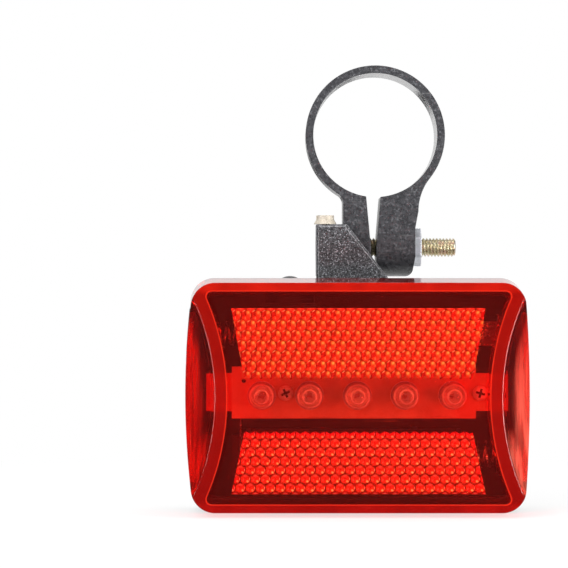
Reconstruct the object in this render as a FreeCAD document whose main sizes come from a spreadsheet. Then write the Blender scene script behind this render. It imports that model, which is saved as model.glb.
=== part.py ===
"""Bike warning light: a red five-LED tail light on a seat-post clamp.

Everything is drawn about the middle of the lens's front face: X to the right, Y into the depth,
Z up, in millimetres. The finished pieces are moved so that the origin is the centre of the
clamp's bore, whose axis is Y.
"""
import FreeCAD, Part
import math
import os
import Sketcher
from FreeCAD import Vector

doc = FreeCAD.newDocument("WarningLight")

# The driving sizes: name, value and what it is.
SIZES = [
    # head: outline and depths
    ("head_width", 69.2, "outer width at mid height"),
    ("head_height", 47.2, "outer height where lens and housing meet"),
    ("side_draft", 0.6, "how much the front face is narrower at each side"),
    ("height_draft", 0.95, "how much it is lower, at the top and at the bottom"),
    ("corner_radius", 4.8, "corners of the outline"),
    ("side_radius", 170.0, "bulge of the two sides"),
    ("head_depth", 26.0, "front face to the housing's back"),
    ("lens_depth", 12.0, "front face to the parting line"),
    ("seam", 0.1, "parting gap between lens and housing"),
    ("housing_wall", 1.6, "wall of the rear housing"),
    ("back_round", 2.2, "rounding of the housing's back edge"),
    # lens
    ("lens_wall", 1.65, "wall of the lens"),
    ("window_thickness", 2.0, "thickness of the lens's front window"),
    ("rib_start", 0.7, "front face to the start of the ribs behind its ends"),
    ("cheek_width", 6.3, "front face's end to the side, at mid height"),
    ("arc_radius", 46.8, "radius of the front face's two concave ends"),
    ("arc_rib", 2.4, "thickness of the rib behind each concave end"),
    ("rib_depth", 9.0, "front face to the end of those ribs"),
    ("cheek_depth", 9.0, "depth at which a cheek meets the side"),
    ("lip_depth", 1.6, "reach of the housing's lip inside the lens"),
    ("lip_thickness", 1.2, "thickness of that lip"),
    ("lip_gap", 0.25, "gap between lip and lens"),
    # prism panels
    ("panel_thickness", 2.2, "thickness of a prism panel"),
    ("upper_panel_margin", 6.0, "head's top to the upper panel"),
    ("upper_panel_height", 14.4, "height of the upper panel"),
    ("lower_panel_margin", 4.5, "head's bottom to the lower panel"),
    ("lower_panel_height", 12.5, "height of the lower panel"),
    ("panel_side_margin", 9.5, "head's side to a panel's outer corner"),
    ("panel_slope", 2.6, "how much narrower a panel is at the LEDs, on each side"),
    ("prism_pitch", 2.7, "distance between the prisms of a panel"),
    ("prism_depth", 1.2, "depth of the grooves between them"),
    # LED board
    ("board_set", 0.6, "parting line to the LED board's front"),
    ("board_thickness", 1.6, "thickness of the LED board"),
    ("board_left_gap", 9.4, "head's left side to the board's wide part"),
    ("board_right_gap", 10.7, "head's right side to the board's wide part"),
    ("board_bottom_gap", 2.35, "bottom edge of the board to the lower cell"),
    ("board_top_gap", 1.25, "top edge of the board to the upper cell"),
    ("tab_overhang", 0.6, "how far the narrow ends pass the spring plates"),
    ("tab_bottom_step", 1.5, "board's bottom edge to that of the narrow ends"),
    ("tab_top_step", 1.3, "board's top edge to that of the narrow ends"),
    ("board_screw_gap", 9.85, "head's right side to the right board screw"),
    ("board_screw_height", 0.45, "height of both board screws"),
    ("board_screw_rise", 1.1, "height of a board screw's head"),
    ("board_screw_crown", 2.4, "flat top of that head"),
    ("board_screw_head", 3.1, "head diameter of a board screw"),
    ("board_screw_shank", 1.8, "shank diameter of a board screw"),
    ("screw_clear", 0.2, "gap round a screw in a clearance hole"),
    ("board_screw_length", 7.0, "shank length of a board screw"),
    ("board_hole_x", -22.8, "wire hole in the board"),
    ("board_hole_z", 2.9, "height of the wire hole"),
    ("board_hole_diameter", 0.9, "diameter of the wire hole"),
    ("boss_diameter", 4.6, "diameter of the bosses under the board"),
    # LEDs
    ("led_diameter", 5.0, "LED body"),
    ("led_flange_diameter", 5.8, "LED flange"),
    ("led_flange_height", 1.0, "LED flange"),
    ("led_length", 7.6, "board to the dome's tip"),
    ("led_margin", 6.0, "board's left end to the middle of the first LED"),
    # electronics behind the board
    ("chip_length", 5.0, "controller chip along X"),
    ("chip_width", 4.0, "controller chip along Z"),
    ("chip_height", 1.5, "controller chip off the board"),
    ("resistor_length", 2.0, "chip resistor along Z"),
    ("resistor_width", 1.25, "chip resistor along X"),
    ("resistor_height", 0.6, "chip resistor off the board"),
    # cells
    ("cell_diameter", 10.5, "AAA cell"),
    ("cell_body_length", 43.4, "AAA cell without its button"),
    ("cell_button_length", 1.0, "AAA cell's button"),
    ("cell_button_diameter", 3.8, "AAA cell's button"),
    ("cell_back_gap", 1.95, "cell to the housing's back wall"),
    ("cell_shift", 0.6, "how far a cell sits towards its button end"),
    ("cradle_gap", 0.15, "gap between a cell and its cradle"),
    ("cradle_thickness", 1.4, "thickness of a cradle rib"),
    # springs and contacts
    ("spring_wire", 0.5, "spring wire"),
    ("spring_small", 4.0, "spring's mean diameter at the cell"),
    ("spring_large", 6.0, "spring's mean diameter at the plate"),
    ("spring_turns", 4.0, "turns of a battery spring"),
    ("contact_thickness", 0.3, "sheet metal of the contacts"),
    ("contact_width", 8.0, "contact plate along Y and Z"),
    ("button_wall_share", 0.3, "part of the room behind a button plate that its wall fills"),
    ("strip_width", 5.0, "strip that joins the bridge's two plates"),
    ("strip_gap", 0.2, "gap round that strip in the housing's wall"),
    ("contact_inset", 5.6, "head's side to the outer face of a spring plate"),
    # mode button and its switch
    ("button_offset", 4.1, "middle of the ribbon to the mode button"),
    ("button_set", 6.5, "housing's back to the mode button's axis"),
    ("button_diameter", 5.0, "mode button"),
    ("button_gap", 0.1, "gap round the mode button"),
    ("button_travel", 0.8, "how far the mode button goes in"),
    ("button_rise", 0.45, "how far its crown stands over the housing"),
    ("button_crown", 1.05, "height of the domed crown"),
    ("button_flange_diameter", 6.6, "flange under the housing's wall"),
    ("button_flange_height", 0.6, "flange under the housing's wall"),
    ("dish_diameter", 9.0, "finger dish round the button"),
    ("dish_depth", 0.6, "finger dish round the button"),
    ("switch_board_thickness", 0.8, "switch board"),
    ("switch_board_length", 12.0, "switch board along X"),
    ("switch_board_width", 9.0, "switch board along Y"),
    ("switch_size", 4.5, "tact switch's sides"),
    ("switch_height", 1.6, "tact switch's body"),
    ("plunger_diameter", 2.0, "tact switch's plunger"),
    ("plunger_height", 0.4, "plunger over the case when it is pressed"),
    ("ribbon_offset", 0.2, "middle of the second LED to the middle of the ribbon"),
    ("ribbon_width", 2.5, "ribbon cable's width"),
    ("ribbon_thickness", 0.7, "ribbon cable's thickness"),
    # slide socket on the housing's back
    ("socket_wall", 1.6, "wall of the slide socket"),
    ("socket_drop", 1.6, "head's top to the open end of the slide socket"),
    ("tongue_length", 20.0, "tongue inside the socket"),
    ("slide_gap", 0.1, "gap round the tongue"),
    ("socket_flange", 4.4, "width of the socket's screw flanges"),
    ("socket_screw_drop", 11.0, "socket's open end to its screws"),
    ("socket_screw_rise", 1.4, "height of a socket screw's head"),
    ("socket_screw_crown", 2.6, "flat top of that head"),
    ("socket_screw_head", 3.6, "head diameter of a socket screw"),
    ("socket_screw_shank", 2.0, "shank diameter of a socket screw"),
    ("socket_screw_length", 5.0, "shank length of a socket screw"),
    # arm
    ("lug_width", 5.5, "lug round the bolt, along X"),
    ("arm_width", 14.8, "width of the arm's tongue"),
    ("arm_rise", 4.7, "bolt's axis to the arm's top"),
    ("arm_top_width", 6.3, "length of the arm's flat top"),
    ("slant_foot", 0.2, "head's top to the end of the slanted edge"),
    ("arm_stand", 0.5, "housing's back to the arm's plate"),
    ("arm_plate", 2.7, "thickness of the arm's plate"),
    ("arm_clear", 0.2, "arm's plate to the ears"),
    ("arm_bevel", 0.45, "bevel round the plate's front"),
    ("lug_gap", 0.1, "gap between lug and ear"),
    ("head_pocket", 4.0, "depth of the pocket for the bolt's head"),
    ("pocket_gap", 0.2, "gap round the washer in that pocket"),
    ("arm_screw_inset", 1.85, "arm's left edge to its screw's axis"),
    ("arm_screw_set", 2.5, "front of the arm's plate to its screw's axis"),
    ("arm_screw_head", 3.7, "head diameter of the arm's screw"),
    ("arm_screw_head_height", 0.85, "head height of the arm's screw"),
    ("arm_screw_flange", 4.8, "flange diameter of the arm's screw"),
    ("arm_screw_flange_height", 1.0, "flange height of the arm's screw"),
    ("arm_screw_shank", 1.8, "shank diameter of the arm's screw"),
    ("arm_screw_length", 8.0, "shank length of the arm's screw"),
    # clamp
    ("post_x", 4.3, "centre of the clamp's bore from the lens's middle"),
    ("bolt_rise", 6.5, "head's top to the bolt's axis"),
    ("post_rise", 23.3, "bolt's axis to the bore's centre"),
    ("bore_diameter", 25.8, "bore of the open clamp"),
    ("band_wall", 1.6, "wall of the clamp's band"),
    ("band_depth", 12.0, "band along the post"),
    ("lug_radius", 6.1, "rounding of ears and lug about the bolt"),
    ("left_ear_reach", 6.7, "bore's centre to the left ear's outer side"),
    ("left_fillet", 2.0, "left fillet from ear to band"),
    ("right_ear_reach", 9.0, "bore's centre to the right ear's outer side"),
    ("right_fillet", 11.0, "right fillet from ear to band"),
    ("right_face_reach", 8.35, "bore's centre to the right ear's face at the nut"),
    ("split_left_reach", 1.9, "bore's centre to the split's left side at the bore"),
    ("split_right_reach", 1.1, "bore's centre to the split's right side at the bore"),
    ("foot_left_reach", 0.9, "bore's centre to the split's left side at the bolt"),
    ("foot_gap", 1.15, "width of the split at the bolt"),
    ("ear_corner", 1.6, "rounded lower corner of the right ear"),
    # bolt, nut, washer
    ("bolt_diameter", 4.0, "M4 clamp bolt"),
    ("bolt_gap", 0.05, "gap round the bolt in the ears and the lug"),
    ("bolt_stickout", 7.2, "thread past the nut"),
    ("thread_pitch", 0.7, "M4 thread"),
    ("bolt_head_diameter", 7.0, "bolt's cheese head"),
    ("bolt_head_height", 2.6, "bolt's head"),
    ("nut_flats", 7.0, "across the flats of the nut"),
    ("nut_height", 3.2, "nut"),
    ("nut_proud", 1.45, "how far the nut stands out of the right ear"),
    ("nut_gap", 0.1, "gap round the nut in its pocket"),
    ("washer_diameter", 8.0, "small washer under the bolt's head"),
    ("washer_thickness", 0.5, "washer under the bolt's head"),
]

sheet = doc.addObject("Spreadsheet::Sheet", "Sizes")
for row, (alias, value, note) in enumerate(SIZES, start=1):
    sheet.set(f"A{row}", alias)
    sheet.set(f"B{row}", str(value))
    sheet.set(f"C{row}", note)
    sheet.setAlias(f"B{row}", alias)
doc.recompute()


class Size:
    """A number that remembers which cells of the sheet it comes from."""

    def __init__(self, value, text):
        self.value = value
        self.text = text

    def __add__(self, other):
        other = size(other)
        return Size(self.value + other.value, f"({self.text} + {other.text})")

    def __sub__(self, other):
        other = size(other)
        return Size(self.value - other.value, f"({self.text} - {other.text})")

    def __mul__(self, other):
        other = size(other)
        return Size(self.value * other.value, f"({self.text} * {other.text})")

    def __truediv__(self, other):
        other = size(other)
        return Size(self.value / other.value, f"({self.text} / {other.text})")

    def __radd__(self, other):
        return size(other) + self

    def __rsub__(self, other):
        return size(other) - self

    def __rmul__(self, other):
        return size(other) * self

    def __neg__(self):
        return Size(-self.value, f"(0 - {self.text})")


def size(number):
    """Turn a plain number into a Size; leave a Size as it is."""
    if isinstance(number, Size):
        return number
    return Size(float(number), str(float(number)))


def root(square):
    return Size(math.sqrt(square.value), f"sqrt({square.text})")


def cell(alias):
    return Size(float(sheet.get(alias)), f"Sizes.{alias}")


s = {alias: cell(alias) for alias, value, note in SIZES}

# Places that follow from the driving sizes.
top_outside = s["head_height"] / 2
side_outside = s["head_width"] / 2
s["front_width"] = s["head_width"] - 2 * s["side_draft"]
s["front_height"] = s["head_height"] - 2 * s["height_draft"]
s["arc_half_width"] = side_outside - s["cheek_width"]
s["upper_panel_top"] = top_outside - s["upper_panel_margin"]
s["upper_panel_bottom"] = s["upper_panel_top"] - s["upper_panel_height"]
s["lower_panel_bottom"] = s["lower_panel_margin"] - top_outside
s["lower_panel_top"] = s["lower_panel_bottom"] + s["lower_panel_height"]
s["panel_wide"] = side_outside - s["panel_side_margin"]
s["panel_narrow"] = s["panel_wide"] - s["panel_slope"]
s["board_front"] = s["lens_depth"] + s["board_set"]
s["board_left"] = s["board_left_gap"] - side_outside
s["board_right"] = side_outside - s["board_right_gap"]
s["led_pitch"] = (-s["board_left"] - s["led_margin"]) / 2
s["board_screw_left"] = -1.5 * s["led_pitch"]
s["cradle_place"] = 1.25 * s["led_pitch"]
s["ribbon_x"] = s["ribbon_offset"] - s["led_pitch"]
s["button_x"] = s["ribbon_x"] - s["button_offset"]
s["board_screw_right"] = side_outside - s["board_screw_gap"]
s["contact_reach"] = side_outside - s["contact_inset"]
s["board_tab_reach"] = s["contact_reach"] + s["tab_overhang"]
s["cell_depth"] = s["head_depth"] - s["housing_wall"] - s["cell_back_gap"] - s["cell_diameter"] / 2
s["button_depth"] = s["head_depth"] - s["button_set"]
s["socket_top"] = top_outside - s["socket_drop"]
s["tongue_end"] = s["socket_top"] - s["tongue_length"]
s["socket_screw_height"] = s["socket_top"] - s["socket_screw_drop"]
s["bolt_height"] = top_outside + s["bolt_rise"]
s["post_height"] = s["bolt_height"] + s["post_rise"]
s["arm_front"] = s["head_depth"] + s["arm_stand"]
s["post_depth"] = s["arm_front"] + s["arm_plate"] + s["arm_clear"] + s["lug_radius"]
s["left_ear_outer"] = s["post_x"] - s["left_ear_reach"]
s["right_ear_outer"] = s["post_x"] + s["right_ear_reach"]
s["right_ear_face"] = s["post_x"] + s["right_face_reach"]
s["split_left"] = s["post_x"] - s["split_left_reach"]
s["split_right"] = s["post_x"] + s["split_right_reach"]
s["split_foot_left"] = s["post_x"] - s["foot_left_reach"]
s["split_foot_right"] = s["split_foot_left"] + s["foot_gap"]
s["nut_face"] = s["right_ear_face"] + s["nut_proud"]
s["bolt_end"] = s["nut_face"] + s["bolt_stickout"]
s["arm_left"] = s["left_ear_outer"] - s["lug_gap"] - s["lug_width"]
s["arm_right"] = s["arm_left"] + s["arm_width"]
s["arm_top"] = s["bolt_height"] + s["arm_rise"]
s["arm_slant_foot"] = top_outside + s["slant_foot"]
s["arm_screw_x"] = s["arm_left"] + s["arm_screw_inset"]
s["arm_screw_depth"] = s["arm_front"] + s["arm_screw_set"]

# Each ear meets the band in a fillet that is tangent to both.
band_radius = s["bore_diameter"] / 2 + s["band_wall"]
for ear_name, sign in (("left", -1), ("right", 1)):
    fillet = s[f"{ear_name}_fillet"]
    across = s[f"{ear_name}_ear_reach"] + fillet
    drop = root((band_radius + fillet) * (band_radius + fillet) - across * across)
    share = band_radius / (band_radius + fillet)
    s[f"{ear_name}_ear_root"] = s["post_height"] - drop
    s[f"{ear_name}_root_x"] = s["post_x"] + sign * across * share
    s[f"{ear_name}_root_z"] = s["post_height"] - drop * share

# The stack under the housing's top wall: button, plunger, switch, its board, and the upper cell.
half_height_inside = top_outside - s["housing_wall"]
button_bottom = half_height_inside - s["button_gap"] - s["button_flange_height"]
plunger_top = button_bottom - s["button_travel"] - s["button_gap"] / 2
switch_top = plunger_top - s["plunger_height"]
switch_floor = switch_top - s["switch_height"] - s["switch_board_thickness"]
s["cell_height"] = switch_floor - s["cradle_gap"] - s["cell_diameter"] / 2
cell_inner_edge = s["cell_height"] - s["cell_diameter"] / 2
s["board_top"] = cell_inner_edge - s["board_top_gap"]
s["board_bottom"] = s["board_bottom_gap"] - cell_inner_edge
s["board_tab_top"] = s["board_top"] - s["tab_top_step"]
s["board_tab_bottom"] = s["board_bottom"] + s["tab_bottom_step"]


def bind(thing, **properties):
    """Bind properties of an object to the sheet."""
    for name, value in properties.items():
        thing.setExpression(name, size(value).text)


def put(thing, place):
    """Bind the place of an object to the sheet."""
    for axis, value in zip("xyz", place):
        thing.setExpression(f"Placement.Base.{axis}", size(value).text)


TURNS = {
    "x": FreeCAD.Rotation(Vector(0, 0, 1), Vector(1, 0, 0)),
    "y": FreeCAD.Rotation(Vector(1, 0, 0), -90),
    "z": FreeCAD.Rotation(),
}


def box(name, low, high):
    """A block from its low corner to its high corner."""
    block = doc.addObject("Part::Box", name)
    bind(block, Length=high[0] - size(low[0]), Width=high[1] - size(low[1]), Height=high[2] - size(low[2]))
    put(block, low)
    return block


def rod(name, axis, start, diameter, length):
    """A cylinder that starts at a point and runs along an axis."""
    piece = doc.addObject("Part::Cylinder", name)
    bind(piece, Radius=diameter / size(2), Height=length)
    piece.Placement.Rotation = TURNS[axis]
    put(piece, start)
    return piece


def cone(name, axis, start, radius_1, radius_2, length):
    piece = doc.addObject("Part::Cone", name)
    bind(piece, Radius1=radius_1, Radius2=radius_2, Height=length)
    piece.Placement.Rotation = TURNS[axis]
    put(piece, start)
    return piece


def hexagon(name, start, flats, length):
    """A six-sided prism along X, with two of its corners up and down."""
    piece = doc.addObject("Part::Prism", name)
    piece.Polygon = 6
    bind(piece, Circumradius=flats / root(size(3)), Height=length)
    piece.Placement.Rotation = FreeCAD.Rotation(Vector(0, 0, 1), Vector(1, 0, 0))
    put(piece, start)
    return piece


def fuse(name, pieces):
    joined = doc.addObject("Part::MultiFuse", name)
    joined.Shapes = pieces
    joined.Refine = True
    return joined


def common(name, pieces):
    """What all the pieces share."""
    shared = doc.addObject("Part::MultiCommon", name)
    shared.Shapes = pieces
    return shared


def cut(name, base, tools):
    """The base without the tools."""
    rest = doc.addObject("Part::Cut", name)
    rest.Base = base
    rest.Tool = tools[0] if len(tools) == 1 else fuse(f"{name}_tools", tools)
    rest.Refine = True
    return rest


nodes = []


def node(name, piece, place=(0, 0, 0)):
    """Give a finished piece its name and its place in the frame of the clamp's bore."""
    piece.Label = name
    origin = (s["post_x"], s["post_depth"], s["post_height"])
    put(piece, [size(at) - middle for at, middle in zip(place, origin)])
    nodes.append(piece)
    return piece


def block_node(name, low, high):
    """A finished piece that is one block."""
    return node(name, box(name, low, high), low)


def outline(name, depth, width, height, corner, side):
    """A rounded outline with bulged sides, in the plane at the given depth."""
    sketch = doc.addObject("Sketcher::SketchObject", name)
    sketch.Placement.Rotation = FreeCAD.Rotation(Vector(1, 0, 0), 90)
    put(sketch, (0, depth, 0))
    half_width, half_height = width.value / 2, height.value / 2
    r, big = corner.value, side.value
    corner_z = half_height - r
    corner_x = half_width - big + math.sqrt((big - r) ** 2 - corner_z ** 2)
    lean = math.asin(corner_z / (big - r))
    flat, right = Vector(0, 0, 1), math.pi / 2
    arcs = []
    for x_sign, z_sign in ((1, 1), (-1, 1), (-1, -1), (1, -1)):
        circle = Part.Circle(Vector(x_sign * corner_x, z_sign * corner_z, 0), flat, r)
        angles = sorted((math.atan2(z_sign * math.sin(lean), x_sign * math.cos(lean)), z_sign * right))
        if x_sign < 0 and z_sign < 0:
            angles = [math.pi + lean, math.pi + right]
        arcs.append(sketch.addGeometry(Part.ArcOfCircle(circle, *angles)))
    sides = []
    for x_sign, middle in ((1, 0), (-1, math.pi)):
        circle = Part.Circle(Vector(x_sign * (half_width - big), 0, 0), flat, big)
        sides.append(sketch.addGeometry(Part.ArcOfCircle(circle, middle - lean, middle + lean)))
    right_top, left_top = Vector(corner_x, half_height, 0), Vector(-corner_x, half_height, 0)
    top = sketch.addGeometry(Part.LineSegment(right_top, left_top))
    bottom = sketch.addGeometry(Part.LineSegment(-right_top, -left_top))
    joints = [
        (sides[0], 2, arcs[0], 1), (arcs[0], 2, top, 1), (top, 2, arcs[1], 1), (arcs[1], 2, sides[1], 1),
        (sides[1], 2, arcs[2], 1), (arcs[2], 2, bottom, 1), (bottom, 2, arcs[3], 1),
        (arcs[3], 2, sides[0], 1),
    ]
    for first, first_end, second, second_end in joints:
        sketch.addConstraint(Sketcher.Constraint("Tangent", first, first_end, second, second_end))
    sketch.addConstraint(Sketcher.Constraint("Horizontal", top))
    sketch.addConstraint(Sketcher.Constraint("Horizontal", bottom))

    def hold(kind, geometry, value, formula):
        index = sketch.addConstraint(Sketcher.Constraint(kind, *geometry, value))
        sketch.setExpression(f"Constraints[{index}]", formula.text)

    for arc in arcs:
        hold("Radius", (arc,), r, corner)
    for arc, sign in zip(sides, (1, -1)):
        hold("Radius", (arc,), big, side)
        sketch.addConstraint(Sketcher.Constraint("PointOnObject", arc, 3, -1))
        hold("DistanceX", (-1, 1, arc, 3), sign * (half_width - big), sign * (width / 2 - side))
    hold("DistanceY", (-1, 1, top, 1), half_height, height / 2)
    hold("DistanceY", (-1, 1, bottom, 1), -half_height, -(height / 2))
    return sketch


def head_outline(name, depth, inset, width=None, height=None):
    """The head's outline, moved inwards by the inset."""
    inset = size(inset)
    return outline(
        name, depth,
        (width or s["head_width"]) - 2 * inset,
        (height or s["head_height"]) - 2 * inset,
        s["corner_radius"] - inset,
        s["side_radius"] - inset,
    )


def loft(name, sections):
    solid = doc.addObject("Part::Loft", name)
    solid.Sections = sections
    solid.Solid = True
    solid.Ruled = True
    return solid


def head_block(name, start, end, inset):
    """A straight block of the head's outline, moved inwards by the inset."""
    return loft(name, [head_outline(f"{name}_start", start, inset), head_outline(f"{name}_end", end, inset)])


PLANES = {"x": "YZ_Plane", "y": "XZ_Plane", "z": "XY_Plane"}


def body(name):
    return doc.addObject("PartDesign::Body", name)


def profile(owner, normal, level, points):
    """A closed, fully dimensioned sketch of the body, in the plane across an axis at a level.

    Each point is a pair; a third entry is the radius of the arc that reaches the point, more
    than nothing when the arc turns left. Points are (X, Z) across Y, (Y, Z) across X and
    (X, Y) across Z.
    """
    sketch = owner.newObject("Sketcher::SketchObject", f"{owner.Name}_profile")
    plane = [part for part in owner.Origin.OriginFeatures if part.Role == PLANES[normal]][0]
    sketch.AttachmentSupport = [(plane, "")]
    sketch.MapMode = "FlatFace"
    sign = -1 if normal == "y" else 1
    sketch.setExpression("AttachmentOffset.Base.z", (sign * size(level)).text)
    spots = [(size(point[0]), size(point[1])) for point in points]
    for index, point in enumerate(points):
        start = spots[index - 1]
        a = Vector(start[0].value, start[1].value, 0)
        b = Vector(spots[index][0].value, spots[index][1].value, 0)
        if len(point) == 2:
            sketch.addGeometry(Part.LineSegment(a, b))
            continue
        radius = abs(size(point[2]).value)
        half = (b - a) * 0.5
        turn = 1 if size(point[2]).value > 0 else -1
        across = Vector(-half.y, half.x, 0).normalize() * turn
        centre = a + half + across * math.sqrt(radius ** 2 - half.Length ** 2)
        middle = centre - across * radius
        sketch.addGeometry(Part.Arc(a, middle, b))
    count = len(points)
    for index, point in enumerate(points):
        turns_right = len(point) == 3 and size(point[2]).value < 0
        end = 1 if turns_right else 2
        following = points[(index + 1) % count]
        next_start = 2 if len(following) == 3 and size(following[2]).value < 0 else 1
        sketch.addConstraint(Sketcher.Constraint("Coincident", index, end, (index + 1) % count, next_start))
        for kind, spot in zip(("DistanceX", "DistanceY"), spots[index]):
            row = sketch.addConstraint(Sketcher.Constraint(kind, -1, 1, index, end, spot.value))
            sketch.setExpression(f"Constraints[{row}]", spot.text)
        if len(point) == 3:
            formula = size(point[2]) * (-1 if turns_right else 1)
            row = sketch.addConstraint(Sketcher.Constraint("Radius", index, formula.value))
            sketch.setExpression(f"Constraints[{row}]", formula.text)
    return sketch


def pad(owner, sketch, length, backwards=False):
    """Thicken a sketch of the body: towards the axis's far end, unless backwards is set."""
    feature = owner.newObject("PartDesign::Pad", f"{owner.Name}_pad")
    feature.Profile = sketch
    bind(feature, Length=length)
    feature.Reversed = backwards
    return feature


def plate(name, normal, level, thickness, points):
    """A body that is one padded profile, from the level towards the axis's far end."""
    owner = body(name)
    pad(owner, profile(owner, normal, level, points), thickness, backwards=(normal == "y"))
    return owner


def turned(name, points):
    """A body turned about its own Z axis from (radius, height) points."""
    owner = body(name)
    sketch = profile(owner, "y", 0, points)
    feature = owner.newObject("PartDesign::Revolution", f"{name}_turning")
    feature.Profile = sketch
    feature.ReferenceAxis = (sketch, ["V_Axis"])
    feature.Angle = 360
    return owner


# Lens: a drafted block with a cheek cut at each end, hollow from behind.

front_draft = head_outline("front_edge", 0, 0, s["front_width"], s["front_height"])
rim = head_outline("rim_edge", s["lens_depth"], 0)
lens_block = loft("lens_block", [front_draft, rim])
lens_hollow = loft("lens_hollow", [
    head_outline("hollow_front", s["window_thickness"], s["lens_wall"], s["front_width"], s["front_height"]),
    head_outline("hollow_back", s["lens_depth"] + 1, s["lens_wall"]),
])
lens_shell = cut("lens_shell", lens_block, [lens_hollow])

arc_centre = s["arc_half_width"] + s["arc_radius"]
cheek_slope = s["cheek_width"] / s["cheek_depth"]
cheek_wall = s["lens_wall"] * root(1 + cheek_slope * cheek_slope)
ends = []
cheeks = []
for side_name, sign in (("left", -1), ("right", 1)):
    axis_x = sign * arc_centre
    rib = cut(f"{side_name}_rib", rod(
        f"{side_name}_rib_outer", "y", (axis_x, s["rib_start"], 0),
        2 * (s["arc_radius"] + s["arc_rib"]), s["rib_depth"] - s["rib_start"],
    ), [rod(f"{side_name}_rib_inner", "y", (axis_x, 0, 0), 2 * s["arc_radius"], s["rib_depth"])])
    skin = cone(
        f"{side_name}_cheek_inside", "y", (axis_x, 0, 0), s["arc_radius"] + cheek_wall,
        s["arc_radius"] + cheek_wall - cheek_slope * s["lens_depth"], s["lens_depth"],
    )
    ends += [rib, skin]
    cheeks.append(cone(
        f"{side_name}_cheek", "y", (axis_x, -1, 0), s["arc_radius"] + cheek_slope,
        s["arc_radius"] - cheek_slope * (s["lens_depth"] + 1), s["lens_depth"] + 2,
    ))
lens_ends = common("lens_ends", [lens_block, fuse("lens_end_pieces", ends)])
node("front_lens", cut("front_lens", fuse("lens_whole", [lens_shell, lens_ends]), cheeks))

# Two prism panels behind the window, wider away from the LEDs.


def zigzag(start, end):
    """Points of a row of grooves along a line, in steps near the prism pitch: (along, depth)."""
    count = max(2, round((end - start).value / s["prism_pitch"].value))
    step = (end - start) / count
    grooves = [(start, s["window_thickness"] + s["prism_depth"])]
    for tooth in range(count):
        grooves.append((start + (tooth + 0.5) * step, s["window_thickness"]))
        grooves.append((start + (tooth + 1) * step, s["window_thickness"] + s["prism_depth"]))
    return grooves


def prism_panel(name, bottom, top, bottom_half, top_half):
    """A trapezoid plate whose front is cut by upright and level grooves into pointed prisms."""
    back = s["window_thickness"] + s["panel_thickness"]
    blank = plate(f"{name}_blank", "y", s["window_thickness"], s["panel_thickness"], [
        (-bottom_half, bottom), (bottom_half, bottom), (top_half, top), (-top_half, top),
    ])
    wide = s["panel_wide"]
    upright = plate(f"{name}_upright_grooves", "z", bottom, top - bottom, zigzag(-wide, wide) + [
        (wide, back), (-wide, back),
    ])
    level = plate(f"{name}_level_grooves", "x", -wide, 2 * wide, [
        (depth, height) for height, depth in zigzag(bottom, top)
    ] + [(back, top), (back, bottom)])
    return node(name, common(name, [blank, upright, level]))


prism_panel(
    "upper_prism_panel", s["upper_panel_bottom"], s["upper_panel_top"], s["panel_narrow"], s["panel_wide"])
prism_panel(
    "lower_prism_panel", s["lower_panel_bottom"], s["lower_panel_top"], s["panel_wide"], s["panel_narrow"])

# Rear housing: a tray with a lip that enters the lens.

housing_front = s["lens_depth"] + s["seam"]
housing_inside = s["head_depth"] - s["housing_wall"]
tray = cut(
    "tray",
    loft("tray_block", [
        head_outline("tray_front", housing_front, 0),
        head_outline("tray_shoulder", s["head_depth"] - s["back_round"], 0),
        head_outline("tray_back", s["head_depth"], s["back_round"]),
    ]),
    [loft("tray_hollow", [
        head_outline("tray_hollow_front", housing_front - 1, s["housing_wall"]),
        head_outline("tray_hollow_shoulder", s["head_depth"] - s["back_round"], s["housing_wall"]),
        head_outline("tray_hollow_back", housing_inside, s["back_round"]),
    ])],
)
lip_draft = s["height_draft"] * (s["lip_depth"] + 1) / (s["lens_depth"] + 1 - s["window_thickness"])
lip_inset = s["lens_wall"] + s["lip_gap"] + lip_draft
lip_inner = lip_inset + s["lip_thickness"]
lip_root = housing_front + s["lip_thickness"]
lip = cut(
    "lip", head_block("lip_block", s["lens_depth"] - s["lip_depth"], lip_root, lip_inset),
    [head_block("lip_hollow", s["lens_depth"] - s["lip_depth"] - 1, lip_root + 1, lip_inner)],
)
lip_step = cut(
    "lip_step", head_block("lip_step_block", housing_front, lip_root, s["housing_wall"] / 2),
    [head_block("lip_step_hollow", housing_front - 1, lip_root + 1, lip_inner)],
)

cradle_cut = s["cell_diameter"] + 2 * s["cradle_gap"]
cradles = []
cell_beds = []
for row_name, sign in (("upper", 1), ("lower", -1)):
    height = sign * s["cell_height"]
    for place_name, place in (("left", -s["cradle_place"]), ("right", s["cradle_place"])):
        cradles.append(box(
            f"{row_name}_{place_name}_cradle",
            (place - s["cradle_thickness"] / 2, s["cell_depth"], height - s["cell_diameter"] / 2),
            (
                place + s["cradle_thickness"] / 2, housing_inside + s["housing_wall"] / 2,
                height + s["cell_diameter"] / 2,
            ),
        ))
    cell_beds.append(rod(
        f"{row_name}_bed", "x", (-s["contact_reach"], s["cell_depth"], height), cradle_cut,
        2 * s["contact_reach"],
    ))
cradle_ribs = cut("cradle_ribs", fuse("cradle_blocks", cradles), cell_beds)

board_back = s["board_front"] + s["board_thickness"]
bosses = []
boss_bores = []
for boss_name in ("left", "right"):
    start = (s[f"board_screw_{boss_name}"], board_back, s["board_screw_height"])
    reach = housing_inside + s["housing_wall"] / 2 - board_back
    bosses.append(rod(f"{boss_name}_boss", "y", start, s["boss_diameter"], reach))
    boss_bores.append(rod(
        f"{boss_name}_boss_bore", "y", start, s["board_screw_shank"],
        s["board_screw_length"] - s["board_thickness"] + 1,
    ))

# Upright walls that hold the contact plates, between the cells' ends and the sides.

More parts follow.
